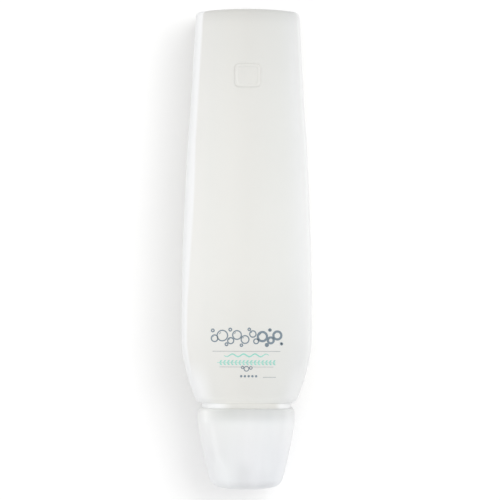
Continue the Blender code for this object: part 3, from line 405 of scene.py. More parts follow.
def milky_plastic(colours):
    """The cover's thin milky polypropylene. Its skins send light back, send it through spread out,
    and let some through clear. The inner one is clearer and duller. Folds and edges are milkier, as
    painted highlights, patches are milkier or clearer, as painted light and shade, and its tint
    holds painted shade along and across it."""
    look, tree = new_look("milky_plastic", colours.cover, 0.3, IOR=1.49)
    streaks = grain(tree, 210, 3.0, (1, 0.12, 1))
    tint = mottled(tree, colours.cover, streaks, 0.01)
    # Painted shade along and across the cover
    for axis, stops in enumerate((COVER_PAINTED_SHADE_ACROSS, COVER_PAINTED_SHADE_ALONG)):
        place = on_axis(tree, axis, COVER_LOW[axis], COVER_HIGH[axis])
        tint = shaded(tree, tint, place, stops)
    to_shader(tree, "Base Color", tint)
    bumps(tree, streaks, 0.1, 0.4)
    inner = attribute(tree, "inner")
    to_shader(tree, "Roughness", carried(tree, inner, 0, 1, 0.3, 0.6))
    share = carried(tree, inner, 0, 1, *COVER_CLEAR)
    less = carried(tree, attribute(tree, "milk"), -1, 1, *MILK_CLEAR)
    clear = add_node(tree, "Math", {0: share, 1: less}, operation="MULTIPLY", use_clamp=True)
    passed = add_node(tree, "BsdfTranslucent", {"Color": tint})
    milk = add_node(tree, "MixShader", {0: attribute(tree, "glow"), 2: passed.outputs[0],
                                        1: tree.nodes["Principled BSDF"].outputs[0]})
    both = add_node(tree, "MixShader", {0: clear.outputs[0], 1: milk.outputs[0],
                                        2: add_node(tree, "BsdfTransparent").outputs[0]})
    tree.links.new(both.outputs[0], tree.nodes["Material Output"].inputs["Surface"])
    return look


def foam_sheet(colour):
    """Closed-cell foam of the neck's washer, with cells a third of a millimetre wide."""
    look, tree = new_look("foam_sheet", colour, 0.75)
    cells = add_node(tree, "TexVoronoi", {"Vector": object_place(tree), "Scale": 3000.0})
    to_shader(tree, "Base Color", mottled(tree, colour, cells.outputs["Distance"], 0.06))
    bumps(tree, cells.outputs["Distance"], 0.1, 0.7)
    return look


def moulded_plastic(name, colour, roughness=0.36):
    """Injection-moulded polypropylene with a faint flow pattern and a smooth fine grain."""
    return plain_look(name, colour, roughness, (120, 2.0, (1, 0.3, 1), 0.015),
                      (420, 3.0, roughness - 0.06, roughness + 0.08), (3200, 2.0, 0.02, 0.4),
                      Subsurface_Weight=0.08, Subsurface_Scale=0.002, IOR=1.49)


def soft_rubber(name, colour):
    """Silicone rubber: smooth, slightly see-through, with dust-fine grain."""
    return plain_look(name, colour, 0.45, (500, 0.03), (1500, 0.4, 0.55), (4000, 0.02, 0.4),
                      Subsurface_Weight=0.3, Subsurface_Scale=0.002, IOR=1.41)


def spring_wire(colour):
    """Drawn stainless wire, with fine marks along it."""
    marks = 1800, 3.0, (1, 4, 1)
    return plain_look("spring_wire", colour, 0.22, (*marks, 0.05), (*marks, 0.16, 0.32),
                      Metallic=1.0)


def woven_nylon(colour):
    """Nylon thread of the foaming screens, with a light sheen."""
    return plain_look("woven_nylon", colour, 0.4, (2500, 0.04), Subsurface_Weight=0.2,
                      Subsurface_Scale=0.0005)


def liquid_soap(colour):
    """Clear pale soap."""
    return plain_look("liquid_soap", colour, 0.05, (60, 3.0, 0.02), (200, 0.03, 0.1),
                      Transmission_Weight=0.6, IOR=1.36)


def printing_ink(name, colour):
    """Ink printed on the bottle: matt, a little thinner in places."""
    return plain_look(name, colour, 0.5, (700, 4.0, 0.09), (1200, 3.0, 0.42, 0.6),
                      Specular_IOR_Level=0.35)


# Sizes and colours


def length(name, description, size):
    """A length in millimetres, kept in metres."""
    return bpy.props.FloatProperty(name=name, description=description, default=size * MM,
                                   unit="LENGTH", precision=5)


def number(name, description, value, subtype="NONE"):
    """A plain number, a factor or a power."""
    return bpy.props.FloatProperty(name=name, description=description, default=value,
                                   subtype=subtype)


def colour(name, description, value):
    """A linear colour."""
    return bpy.props.FloatVectorProperty(name=name, description=description, default=value, size=3,
                                         min=0, max=1, subtype="COLOR")


class RefillBottle(bpy.types.PropertyGroup):
    """Sizes of the bottle's body and neck."""

    body: length("Body length", "From the base end to the neck's foot", 267.6)
    wall: length("Wall", "Thickness of the wall", 1.0)
    base_half: length("Base half width", "Half width at the base end", 35.1)
    waist_half: length("Waist half width", "Half width at the waist", 39.2)
    waist_at: length("Waist place", "From the base end to the waist", 77.0)
    hip_half: length("Hip half width", "Half width at the hip", 40.4)
    hip_at: length("Hip place", "From the base end to the hip", 91.0)
    full_half: length("Full half width", "Greatest half width", 44.05)
    full_at: length("Full place", "From the base end to the greatest width", 205.0)
    base_depth: length("Base depth", "Depth at the base end", 61.5)
    full_depth: length("Full depth", "Greatest depth", 69.94)
    squareness: number("Squareness", "Power of the body's rounded section", 10.0)
    base_arch: length("Base arch", "How far the base's sides stand back from its middle", 2.4)
    base_lean: length("Base lean", "How far the base's front edge leans in", 1.15)
    base_push: length("Base push-up", "How far the base's panel is pushed in", 2.0)
    shoulder: length("Shoulder", "Length of the shoulder", 43.6)
    neck: length("Neck", "Height of the neck", 17.0)
    neck_radius: length("Neck radius", "Outer radius of the neck", 23.0)
    collar: length("Collar", "How far the neck's foot stands out on front and back", 5.35)
    collar_side: length("Collar side", "How far it stands out on its sides", 5.6)


class RefillPad(bpy.types.PropertyGroup):
    """Sizes of the raised pad near the base end of the front."""

    at: length("Place", "From the base end to the pad's middle", 46.1)
    half_width: length("Half width", "Half of the pad's width", 9.05)
    half_length: length("Half length", "Half of the pad's length", 8.1)
    rim: length("Rim height", "Height of the pad's rim over the front", 0.62)
    dish: length("Dish height", "Height of the pad's middle over the front", 0.36)


class RefillPump(bpy.types.PropertyGroup):
    """Sizes of the pump pieces that show outside the bottle."""

    closure_radius: length("Closure radius", "Outer radius of the closure ring", 26.0)
    closure_top: length("Closure top", "From the bottle's mouth to the closure's face", 5.3)
    closure_skirt: length("Closure skirt", "From the mouth back to the closure's edge", 12.9)
    grooves: bpy.props.IntProperty(name="Grip grooves", description="Grooves round the closure",
                                   default=24)
    groove: length("Groove depth", "Depth of a grip groove", 0.5)
    skirt_radius: length("Skirt radius", "Outer radius of the actuator's skirt", 15.8)
    skirt_wall: length("Skirt wall", "Thickness of the skirt", 1.4)
    flange_radius: length("Flange radius", "Outer radius of the lifting flange", 19.0)
    flange_at: length("Flange place", "From the mouth to the lifting flange", 18.5)
    flange: length("Flange", "Thickness of the lifting flange", 1.8)
    funnel: length("Funnel", "Length of the funnel", 6.2)
    nozzle: length("Nozzle", "Length of the nozzle", 11.5)
    nozzle_bore: length("Nozzle bore", "Radius of the nozzle's bore", 5.0)
    nozzle_wall: length("Nozzle wall", "Thickness of the nozzle's wall", 1.6)
    coil_radius: length("Coil radius", "Radius of the return spring's coils", 15.5)
    wire_radius: length("Wire radius", "Radius of the spring's wire", 0.6)


class RefillCover(bpy.types.PropertyGroup):
    """Sizes of the pull-off cover."""

    wall: length("Wall", "Thickness of the cover", 1.3)
    opening: length("Opening", "Radius of the opening round the closure", 26.3)
    overlap: length("Overlap", "How far the rim stands towards the bottle", 0.9)
    taper: length("Taper", "How far each side leans in by the end corner", 7.7)
    taper_curve: number("Taper curve", "Power of the sides' lean", 1.35)
    end_corner: length("End corner", "Bend from the sides to the end", 8.5)
    rim_square: number("Rim squareness", "Power of the section near the rim", 4.5)
    end_square: number("End squareness", "Power of the section near the end", 3.1)
    rib: length("Rib", "Thickness of an inner rib", 1.2)
    fold: length("Fold height", "How far a soft fold stands out of the sides", 0.35)
    fold_width: length("Fold width", "Half width of a soft fold", 1.3)


class RefillColours(bpy.types.PropertyGroup):
    """Linear colours of the pack."""

    face: colour("Bottle face", "Plastic with the soap behind it", (0.808, 0.80, 0.765))
    # The edge colour is partly the paler plastic round the bottle's edges and partly the colour of
    # a painted highlight
    edge: colour("Bottle edge", "Plastic round the bottle's edges", (0.92, 0.927, 0.93))
    cover: colour("Cover", "Milky plastic", (0.995, 0.995, 0.995))
    pump: colour("Pump", "White plastic of the actuator", (0.93, 0.93, 0.915))
    # The closure ring is darker than the pump's white plastic: partly its natural plastic, partly
    # painted shade under the cover's rim
    closure: colour("Closure", "Natural plastic of the closure ring", (0.62, 0.645, 0.61))
    slate: colour("Slate ink", "Darkest print", (0.20, 0.255, 0.30))
    mint: colour("Mint ink", "Light green print", (0.30, 0.68, 0.58))
    grey: colour("Grey ink", "Thin lines", (0.42, 0.45, 0.46))


class RefillStage(bpy.types.PropertyGroup):
    """Camera and light."""

    camera_height: length("Camera height", "Height of the camera over the floor", 2035.0)
    lens: number("Lens", "Focal length in millimetres on a sensor 36 mm wide", 211.5)
    sky: number("Sky", "Strength of the even light from all round", 0.753, "FACTOR")
    key: number("Key", "Power of the large soft lamp on the right", 18.5, "POWER")
    strip: number("Strip", "Power of the narrow lamp on the left", 2.5, "POWER")
    floor: number("Floor", "Share of light that the floor gives back", 0.86, "FACTOR")
    floor_lift: number("Floor lift", "White added to the floor where it is seen", 0.172, "FACTOR")


# The bottle

# How much of the section the flat back cuts off
BACK_CUT = 0.6 * MM
# Bend between base and sides, how far along its arch and lean run out, the height over the back
# at which it starts to lean, the power of the lean, and the inner skin's share of it
BASE_CORNER = 3.5 * MM
ARCH_FADE = 24.0 * MM
LEAN_FROM, LEAN_CURVE, INNER_LEAN = 24.0 * MM, 1.5, 0.35
# Lean at the end of the shoulder's fall, the bend after it, and the power of the fall
SHOULDER_LEAN, SHOULDER_CORNER, SHOULDER_CURVE = math.radians(20), 6.9 * MM, 1.65
# What the land round the neck adds to its half width and half depth, and its squareness there
# and at the root
LAND_SIDE, LAND_FRONT = 3.3 * MM, 0.6 * MM
LAND_SQUARE, ROOT_SQUARE = 5, 3.2
# The neck
ROOT_RADIUS, ROOT_FILLET, ROOT_HEIGHT = 24.5 * MM, 0.8 * MM, 3.7 * MM
NECK_WALL, BEAD = 2.5 * MM, 1.1 * MM
# Ridges where the mould's halves met, round the body and across the base, their half width, and
# where the base's runs out
PARTING, PINCH, SEAM_WIDTH = 0.15 * MM, 0.5 * MM, 0.45 * MM
PINCH_ENDS = 18 * MM, 23 * MM
# How pale the base's panel is, and how strong the painted highlight down the right edge is
PANEL_EDGE, RIGHT_HIGHLIGHT = 0.4, 0.75
# Width of the painted highlight down the left edge at distances from the base end, in millimetres
LEFT_HIGHLIGHT_WIDTH = ((0, 5.2), (60, 5.0), (129, 6.4), (184, 4.9), (204, 4.1), (225, 3.9), (240, 4.0),
              (260, 3.4))


def shoulder_place(sizes):
    """Where the shoulder starts and ends, and the land's radius inside its corner."""
    end = sizes.body - SHOULDER_CORNER * (1 - math.sin(SHOULDER_LEAN))
    inner = ROOT_RADIUS + ROOT_FILLET + SHOULDER_CORNER * math.cos(SHOULDER_LEAN)
    return sizes.body - sizes.shoulder, end, inner


def body_section(sizes, along):
    """Half width, back, front and squareness of the body at distances from its base end. The
    shoulder falls from the full section to the land round the neck by a power of the distance."""
    start, end, inner = shoulder_place(sizes)
    half = smooth_through([(0, sizes.base_half), (sizes.waist_at, sizes.waist_half),
                           (sizes.hip_at, sizes.hip_half), (sizes.full_at, sizes.full_half),
                           (start, sizes.full_half)], along)
    front = smooth_through([(0, sizes.base_depth), (sizes.full_at, sizes.full_depth),
                            (start, sizes.full_depth)], along)
    share = np.clip((along - start) / (end - start), 0, 1)
    fall = share ** SHOULDER_CURVE
    half = half - (sizes.full_half - inner - LAND_SIDE) * fall
    front = front + (AXIS_UP + inner + LAND_FRONT - sizes.full_depth) * fall
    back = (AXIS_UP - inner - LAND_FRONT + BACK_CUT) * fall - BACK_CUT
    return half, back, front, sizes.squareness + (LAND_SQUARE - sizes.squareness) * share


def front_height(sizes, x, along):
    """Height of the front face: the section's middle plus b (1 - |x/a|^n)^(1/n)."""
    half, back, front, squareness = body_section(sizes, along)
    inside = np.clip(1 - np.abs(x / half) ** squareness, 0, 1)
    return (back + front) / 2 + (front - back) / 2 * inside ** (1 / squareness)


def body_rows(sizes, wall, fine):
    """Rows of the body from the middle of its base to the land round its neck, a wall's thickness
    inside the skin. Each row reads the section at one place, moves it in by an inset, scales it
    about its middle and stands at a place of its own."""
    start, end, _ = shoulder_place(sizes)
    base_bend, last_bend = BASE_CORNER - wall, SHOULDER_CORNER - wall
    k = np.linspace(0.03, 1, 26 if fine else 6)[:-1]
    turn = np.linspace(0, math.pi / 2, 9 if fine else 3)
    body = np.linspace(BASE_CORNER, start, 84 if fine else 14)[1:]
    fall = np.linspace(start, end, 30 if fine else 9)[1:]
    last = np.linspace(SHOULDER_LEAN, math.radians(55 if fine else 90), 8 if fine else 3)[1:]
    rise = smooth_through([(0, sizes.base_push), (0.6, sizes.base_push),
                           (0.8, sizes.base_push * 0.15), (1, 0)], k) + wall
    groups = (
        (BASE_CORNER, BASE_CORNER, rise, k),
        (BASE_CORNER, BASE_CORNER - base_bend * np.sin(turn),
         BASE_CORNER - base_bend * np.cos(turn), 1),
        (body, wall, body, 1),
        (fall, wall, fall, 1),
        (end, SHOULDER_CORNER * math.cos(SHOULDER_LEAN) - last_bend * np.cos(last),
         end - SHOULDER_CORNER * math.sin(SHOULDER_LEAN) + last_bend * np.sin(last), 1),
    )
    read, inset, place, scale = (np.concatenate(column) for column in
                                 zip(*(np.broadcast_arrays(*group) for group in groups)))
    half, back, front, squareness = body_section(sizes, read)
    panel = len(k)
    squareness[:panel] = smooth_through([(0, 3), (0.6, 5), (0.8, 5), (1, squareness[panel])], k)
    squareness[-len(last):] = (LAND_SQUARE + (ROOT_SQUARE - LAND_SQUARE) * (last - SHOULDER_LEAN)
                               / (math.pi / 2 - SHOULDER_LEAN))
    middle, reach = (back + front) / 2, ((front - back) / 2 - inset) * scale
    return (half - inset) * scale, middle - reach, middle + reach, squareness, place, panel


def body_grid(sizes, wall, angles, fine):
    """The body's points. Its base is arched by the square of x and leans in at the front by a power
    of the height, its back is cut flat, and a ridge runs where the mould's halves met. Also returns
    how much of each point takes the pale edge colour, partly paler plastic and partly painted
    highlight: a line of measured width down the left edge, a band over the shoulder, mostly on the
    left, and a narrow line on the right. And it returns its place across as x/a, which the painted
    light across the face reads. Both fade out down the sides."""
    *rows, panel = body_rows(sizes, wall, fine)
    half, low, high, squareness, place = (row[:, None] for row in rows)
    x, up = squared_rows(half, low, high, squareness, angles)
    place = np.broadcast_to(place, x.shape)
    share = np.clip(x / half, -1, 1)
    # Painted highlights in the pale edge colour: a line down the left edge, a band over the
    # shoulder, mostly on the left, and a narrow line on the right
    line = smooth_through(np.array(LEFT_HIGHLIGHT_WIDTH) * MM, place)
    left = smooth_step(-0.7 * MM, 0.7 * MM, line - (1 + share) * half)
    shoulder = (smooth_step(sizes.body - 34 * MM, sizes.body - 12 * MM, place)
                * (smooth_step(0.55, 0.9, -share) + 0.5 * smooth_step(0.65, 0.9, share)))
    right = RIGHT_HIGHLIGHT * smooth_step(0.92, 0.99, share)
    front = smooth_step(0.4, 0.75, (up - low) / (high - low))
    edge, share = np.maximum.reduce([left, shoulder, right]) * front, share * front
    edge[:panel] = PANEL_EDGE
    if fine:
        seam = bell(up, (low + high) / 2, SEAM_WIDTH)
        x = x - np.sign(x) * PARTING * (1 - seam)
        pinch = PINCH * seam * (1 - smooth_step(*PINCH_ENDS, np.abs(x)))
        pinch[panel:] = 0
        place = place - pinch
    fade = np.clip(1 - place / ARCH_FADE, 0, 1) ** 2
    lean = np.clip((up - LEAN_FROM) / (sizes.base_depth - LEAN_FROM), 0, 1) ** LEAN_CURVE
    lean = lean * sizes.base_lean * (1 if fine else INNER_LEAN)
    place = place + (sizes.base_arch * (x / sizes.base_half) ** 2 + lean) * fade
    return laid(x, place, np.maximum(up, wall)), edge, share


def neck_grid(sizes, angles):
    """The neck's rings, from a squared collar at its root over the snap bead to the mouth and back
    down the bore. Also returns how much of each point takes the pale edge colour, a painted
    highlight over the neck's ends, broad on the left and narrow on the right, which its middle
    doesn't take."""
    root, neck, bore = ROOT_RADIUS, sizes.neck_radius, sizes.neck_radius - NECK_WALL
    collar, top = root + sizes.collar, ROOT_HEIGHT - sizes.neck
    radius, out = rounded([
        (collar, -sizes.neck - 1.25 * MM), (collar, top - 1.44 * MM),
        (collar - 0.7 * MM, top - 1.56 * MM), (root, top - 1.56 * MM), (root, top), (neck, top),
        (neck, -5.6 * MM), (neck + BEAD, -5.05 * MM), (neck + BEAD, -3.3 * MM),
        (neck, -2.2 * MM), (neck, 0), (bore, 0), (bore, -sizes.neck - sizes.wall / 2),
    ], np.array([0, 0.1, 0.1] + [0.35] * 10) * MM, 4, closed=False).T
    half = radius + np.maximum(radius - root, 0) * (sizes.collar_side / sizes.collar - 1)
    x, up = squared_rows(half, -radius, radius, 2 + 2 * smooth_step(root, collar, radius), angles)
    # Painted highlight over the neck's ends, broad on the left and narrow on the right
    edge = smooth_step(0.35, 0.85, -x / neck) + smooth_step(0.8, 1.05, x / neck)
    return round_pump(x, up, out[:, None]), edge


class RefillMakeBottle(bpy.types.Operator):
    """Blow-moulded bottle: body, shoulder and neck outside, and a wall's thickness inside"""

    bl_idname = "refill.bottle"
    bl_label = "Bottle"

    def execute(self, context):
        sizes = context.scene.refill_bottle
        corner = math.atan2(sizes.full_depth / 2, sizes.full_half)
        seam = np.array([-1.0, -0.7, -0.45, -0.22, 0.22, 0.45, 0.7, 1.0]) * MM / sizes.full_half
        angles = np.unique(np.concatenate([corner_angles(296, corner), seam % math.tau,
                                           seam + math.pi]))
        outside, edge, share = body_grid(sizes, 0.0, angles, True)
        neck, neck_edge = neck_grid(sizes, angles)
        inside = body_grid(sizes, sizes.wall, angles, False)[0]
        grid = np.concatenate([outside, neck, inside[::-1]])
        edges = np.ones(grid.shape[0] * grid.shape[1] + 2)
        edges[:edge.size + neck_edge.size] = np.concatenate([edge, neck_edge]).ravel()
        side = np.zeros_like(edges)
        side[:share.size] = share.ravel()
        look = blown_plastic(context.scene.refill_colours)
        made = piece("blown_bottle", [skin(grid)], look, edge=edges, side=side)
        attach(made, "pack")
        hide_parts("bottle")
        return {"FINISHED"}


class RefillMakePad(bpy.types.Operator):
    """Raised rounded square near the base end: a rim round a shallow dish, both read from the
    distance q = (|x/a|^6 + |y/b|^6)^(1/6) to its middle"""

    bl_idname = "refill.pad"
    bl_label = "Raised pad"

    def execute(self, context):
        bottle, sizes = context.scene.refill_bottle, context.scene.refill_pad
        q = np.concatenate([np.linspace(0.04, 0.66, 8), np.linspace(0.69, 1.1, 30)])
        reach = sizes.half_length * q
        x, along = squared_rows(sizes.half_width * q, sizes.at - reach, sizes.at + reach,
                                np.full_like(q, 6.0), corner_angles(176, math.pi / 4))
        rise = smooth_through([(0, sizes.dish), (0.7, sizes.dish), (0.82, sizes.rim),
                               (0.9, sizes.rim), (0.985, 0.12 * MM), (1.03, -0.06 * MM),
                               (1.1, -0.2 * MM)], q)[:, None]
        face = front_height(bottle, x, along)
        grid = np.concatenate([laid(x, along, face + rise),
                               laid(x, along, face - bottle.wall * 0.6)[::-1]])
        look = bpy.data.materials["blown_plastic"]
        made = piece("raised_pad", [skin(grid)], look, edge=0.0)
        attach(made, "pack")
        return {"FINISHED"}


# The print, in millimetres

# How far a plate of ink stands above and below the skin
INK_ABOVE, INK_BELOW = 0.04, 0.05
# Places from the base end
BUBBLES_AT, WAVE_AT, LEAVES_AT, DOTS_AT = 221.8, 233.8, 238.7, 247.8


def ribbon(sizes, x, along, width, comes_back=False):
    """A thin plate of ink along a path on the front: four corners carried along it, half a width
    to each side."""
    if comes_back:
        step_x, step_along = (np.roll(path, -1) - np.roll(path, 1) for path in (x, along))
    else:
        step_x, step_along = np.gradient(x), np.gradient(along)
    reach = width / 2 / np.hypot(step_x, step_along)
    sides = []
    for sign, rise in ((1, INK_ABOVE), (-1, INK_ABOVE), (-1, -INK_BELOW), (1, -INK_BELOW)):
        at_x = (x - sign * step_along * reach) * MM
        at_along = (along + sign * step_x * reach) * MM
        sides.append(laid(at_x, at_along, front_height(sizes, at_x, at_along) + rise * MM))
    return skin(np.stack(sides, axis=1), comes_back)


def line(sizes, low, high, along, width):
    """A straight line across the front."""
    x = np.linspace(low, high, 60)
    return ribbon(sizes, x, np.full_like(x, along), width)


def ring(sizes, x, along, radius, width):
    """A circle's outline: x + r cos, along + r sin."""
    angle = even_angles(72)
    return ribbon(sizes, x + radius * np.cos(angle), along + radius * np.sin(angle), width, True)


def dot(sizes, x, along, radius):
    """A filled circle: a path across it as wide as 2 r sin at each point r cos."""
    angle = np.linspace(0.02, math.pi - 0.02, 33)
    path = x - radius * np.cos(angle)
    return ribbon(sizes, path, np.full_like(path, along), 2 * radius * np.sin(angle))


def leaf(sizes, x, along, size, turn, bend):
    """A leaf: a path that bends by a sine to one side, as wide as a sine raised to a power."""
    t = np.linspace(0.01, 0.99, 33)
    off = bend * size * np.sin(math.pi * t)
    return ribbon(sizes, x + size * t * math.cos(turn) - off * math.sin(turn),
                  along + size * t * math.sin(turn) + off * math.cos(turn),
                  0.42 * size * np.sin(math.pi * t) ** 0.9)


class RefillMakePrint(bpy.types.Operator):
    """Plain printed ornament on the front: foam bubbles, thin rules, a wave and leaves"""

    bl_idname = "refill.print"
    bl_label = "Front print"

    # Place across, along and radius of each bubble
    bubbles = ((-21.4, 0.6, 2.6), (-16.2, -1.2, 3.9), (-10.6, 2.2, 2.4), (-6.4, -1.6, 3.3),
               (-1.0, 1.4, 3.0), (4.2, -2.3, 2.5), (6.4, 2.6, 2.0), (10.6, -0.6, 3.8),
               (16.2, 1.9, 2.7), (20.6, -1.4, 3.4), (-13.4, 4.6, 1.3), (-3.4, 5.2, 1.2),
               (13.6, 5.0, 1.4), (1.8, -5.4, 1.2), (-10.9, -5.2, 1.3), (15.6, -5.0, 1.2),
               (23.4, 4.2, 1.1), (-22.6, -4.6, 1.3))
    small_bubbles = ((0.0, 242.8, 1.6), (2.9, 242.2, 0.9), (-2.6, 241.9, 0.8))
    # Start and end across, place along and width of each rule
    rules = ((-22.75, 22.75, 231.1, 0.35), (-18.05, 18.05, 241.6, 0.3), (11.05, 19.75, 248.5, 0.4))

    def execute(self, context):
        sizes, colours = context.scene.refill_bottle, context.scene.refill_colours
        slate = []
        turn = np.linspace(math.radians(200), math.radians(250), 20)
        glint = 0.45 * np.sin(np.linspace(0.3, math.pi - 0.3, 20))
        for x, along, radius in self.bubbles:
            at, wide, inner = BUBBLES_AT + along, 0.8 if x < 8 else 1.5, radius * 0.58
            slate.append(ring(sizes, x, at, radius - wide / 2, wide))
            if radius > 2:
                slate.append(ribbon(sizes, x + inner * np.cos(turn), at + inner * np.sin(turn),
                                    glint))
        slate += [dot(sizes, 1.5 + step, DOTS_AT, 0.8) for step in (-5, -2.5, 0, 2.5, 5)]
        slate += [ring(sizes, *place, 0.6) for place in self.small_bubbles]
        grey = [line(sizes, *rule) for rule in self.rules]
        x = np.linspace(-15.05, 15.05, 160)
        mint = [ribbon(sizes, x, WAVE_AT + 0.9 * np.sin(x / 1.2),
                       0.9 * np.cos(x / 15.6 * math.pi / 2) ** 0.4),
                line(sizes, -19.6, 19.6, LEAVES_AT, 0.3)]
        mint += [leaf(sizes, step * 2.55, LEAVES_AT, 2.3, side * 0.75, side * 0.12)
                 for step in range(-7, 8) for side in (-1, 1)]
        for name, skins, tint in (("print_bubbles", slate, colours.slate),
                                  ("print_rules", grey, colours.grey),
                                  ("print_leaves", mint, colours.mint)):
            made = piece(name, skins, printing_ink(name + "_ink", tint))
            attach(made, "pack")
        return {"FINISHED"}


# The pump

CLOSURE_WALL = 1.8 * MM
# The skirt's running gap in the closure, and how far out its inner end is
SKIRT_GAP, SKIRT_FOOT = 0.5 * MM, 3.0 * MM
# How far the lip at the nozzle's mouth turns in, and its length
MOUTH_LIP, LIP_LENGTH = 0.7 * MM, 3.4 * MM
# Bore radius of the tube inside the skirt, and an air vent's radius
INNER_TUBE, VENT = 8.0 * MM, 0.9 * MM
# From the flange out to the seat of the screens
SCREEN_SEAT = 5.2 * MM
# From the mouth into the pump and out to the spring's ends
COIL_LOW, COIL_HIGH = 21.1 * MM, 0.3 * MM


class RefillMakeClosure(bpy.types.Operator):
    """Closure ring: a rounded profile turned round the pump's axis, less grip grooves whose depth
    is 1 - (distance/half width)^2 between its plain bands"""

    bl_idname = "refill.closure"
    bl_label = "Closure ring"

    def execute(self, context):
        bottle, sizes = context.scene.refill_bottle, context.scene.refill_pump
        outer, top, low = sizes.closure_radius, sizes.closure_top, -sizes.closure_skirt
        inner, catch, catch_top = outer - 1.6 * MM, bottle.neck_radius + 0.3 * MM, -5.9 * MM
        face, opening = top - CLOSURE_WALL, sizes.skirt_radius + SKIRT_GAP
        profile = rounded([
            (outer - 0.6 * MM, top), (outer, top - 0.6 * MM), (outer, low), (inner, low),
            (inner, catch_top - 2.4 * MM), (catch, catch_top - 1.6 * MM),
            (catch, catch_top - 0.4 * MM), (inner, catch_top), (inner, face), (opening, face),
            (opening, top),
        ], 0.35 * MM, 5)
        straight = np.linspace(top - 1.2 * MM, low + 0.6 * MM, 24)
        at = np.argmax(profile[:, 1] < top - 1.1 * MM)
        profile = np.insert(profile, at, np.stack([np.full(24, outer), straight], axis=1), axis=0)
        angles, pitch = even_angles(sizes.grooves * 20), math.tau / sizes.grooves
        radius, out = profile[:, :1], profile[:, 1:]
        off = np.abs((angles + pitch / 2) % pitch - pitch / 2) * outer
        depth = sizes.groove * np.clip(1 - (off / MM) ** 2, 0, 1) ** 0.8
        band = smooth_step(low + MM, low + 2 * MM, out) * (radius > outer - 0.05 * MM)
        band = band * (1 - smooth_step(top - 3 * MM, top - 2 * MM, out))
        # Its colour is partly natural plastic and partly painted shade under the cover's rim
        look = moulded_plastic("closure_plastic", context.scene.refill_colours.closure)
        made = piece("grip_closure", [skin(circled(radius - depth * band, angles, out), True)],
                     look)
        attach(made, "pack")
        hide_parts("closure_ring")
        return {"FINISHED"}


class RefillMakeActuator(bpy.types.Operator):
    """Actuator: a rounded profile turned round the pump's axis, with air vents drilled through
    the funnel"""

    bl_idname = "refill.actuator"
    bl_label = "Actuator"

    def execute(self, context):
        sizes = context.scene.refill_pump
        skirt, skirt_in = sizes.skirt_radius, sizes.skirt_radius - sizes.skirt_wall
        bore, nozzle = sizes.nozzle_bore, sizes.nozzle_bore + sizes.nozzle_wall
        tube_in, tube_out = INNER_TUBE, INNER_TUBE + 1.2 * MM
        foot, flange, ledge = SKIRT_FOOT, sizes.flange_at, sizes.flange_at + sizes.flange
        reach = ledge + sizes.funnel
        end = reach + sizes.nozzle
        room, roof, seat = flange + 0.3 * MM, flange - 0.5 * MM, flange + SCREEN_SEAT
        tip, mouth, lip = nozzle - 0.6 * MM, bore - MOUTH_LIP, end - LIP_LENGTH
        profile = rounded([
            (tip - 0.6 * MM, end), (tip, end - 0.6 * MM), (nozzle, reach + 1.2 * MM),
            (nozzle + 0.9 * MM, reach), (skirt - 2.2 * MM, ledge + 1.6 * MM), (skirt, ledge),
            (sizes.flange_radius, ledge), (sizes.flange_radius, flange), (skirt, flange),
            (skirt, foot), (skirt_in, foot), (skirt_in, roof), (tube_out, roof + 1.6 * MM),
            (tube_out, foot), (tube_in, foot), (tube_in, room), (bore, seat - 0.6 * MM),
            (bore, lip), (mouth, lip), (mouth, end),
        ], np.array([0.5, 0.5, 1.5, 1.5, 1.5, 0.5, 0.4, 0.4, 0.4, 0.3, 0.3, 0.6, 0.6, 0.3, 0.3,
                     0.8, 0.8, 0.2, 0.2, 0.4]) * MM, 7)
        look = moulded_plastic("actuator_plastic", context.scene.refill_colours.pump)
        made = piece("foam_head", [skin(turned_grid(profile, 144), True)], look)
        turns = math.radians(45) + even_angles(4)
        middle = (skirt_in + tube_out) / 2
        drill(made, np.stack([middle * np.cos(turns), middle * np.sin(turns)], axis=1), VENT,
              roof - 2 * MM, reach + MM)
        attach(made, "pump_head")
        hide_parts("actuator")
        return {"FINISHED"}


def hoop(rim, wall, low, high, radius, steps, sides):
    """A ring with rounded corners, between two places out along the pump's axis."""
    profile = rounded([(rim, high), (rim, low), (rim - wall, low), (rim - wall, high)], radius,
                      steps)
    return skin(turned_grid(profile, sides), True)


def woven_screen(name, low, pitch, thread, rim, look):
    """A screen: threads that wave by a cosine over and under those that cross them, cut to a
    circle and welded into a rim."""
    skins = [hoop(rim, 0.7 * MM, low, low + 0.4 * MM, 0.1 * MM, 4, 72)]
    middle, reach = low + 0.2 * MM, rim - 0.5 * MM
    across, outward, upward = np.eye(3)
    count = int(reach / pitch)
    for k in range(-count, count + 1):
        at = k * pitch
        chord = math.sqrt(reach ** 2 - at ** 2)
        t = np.linspace(-chord, chord, 10 * max(2, int(chord / pitch)) + 1)
        wave = (0.2 * MM - thread) * np.cos(math.pi * t / pitch + math.pi * k)
        for x, up, out, beside in ((t, at, middle - wave, upward), (at, t, middle + wave, across)):
            path = round_pump(x, up, out)
            first, second = (np.broadcast_to(way, path.shape) for way in (beside, outward))
            skins.append(skin(tube(path, first, second, thread, 6)))
    made = piece(name, skins, look)
    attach(made, "pump_head")
    return made


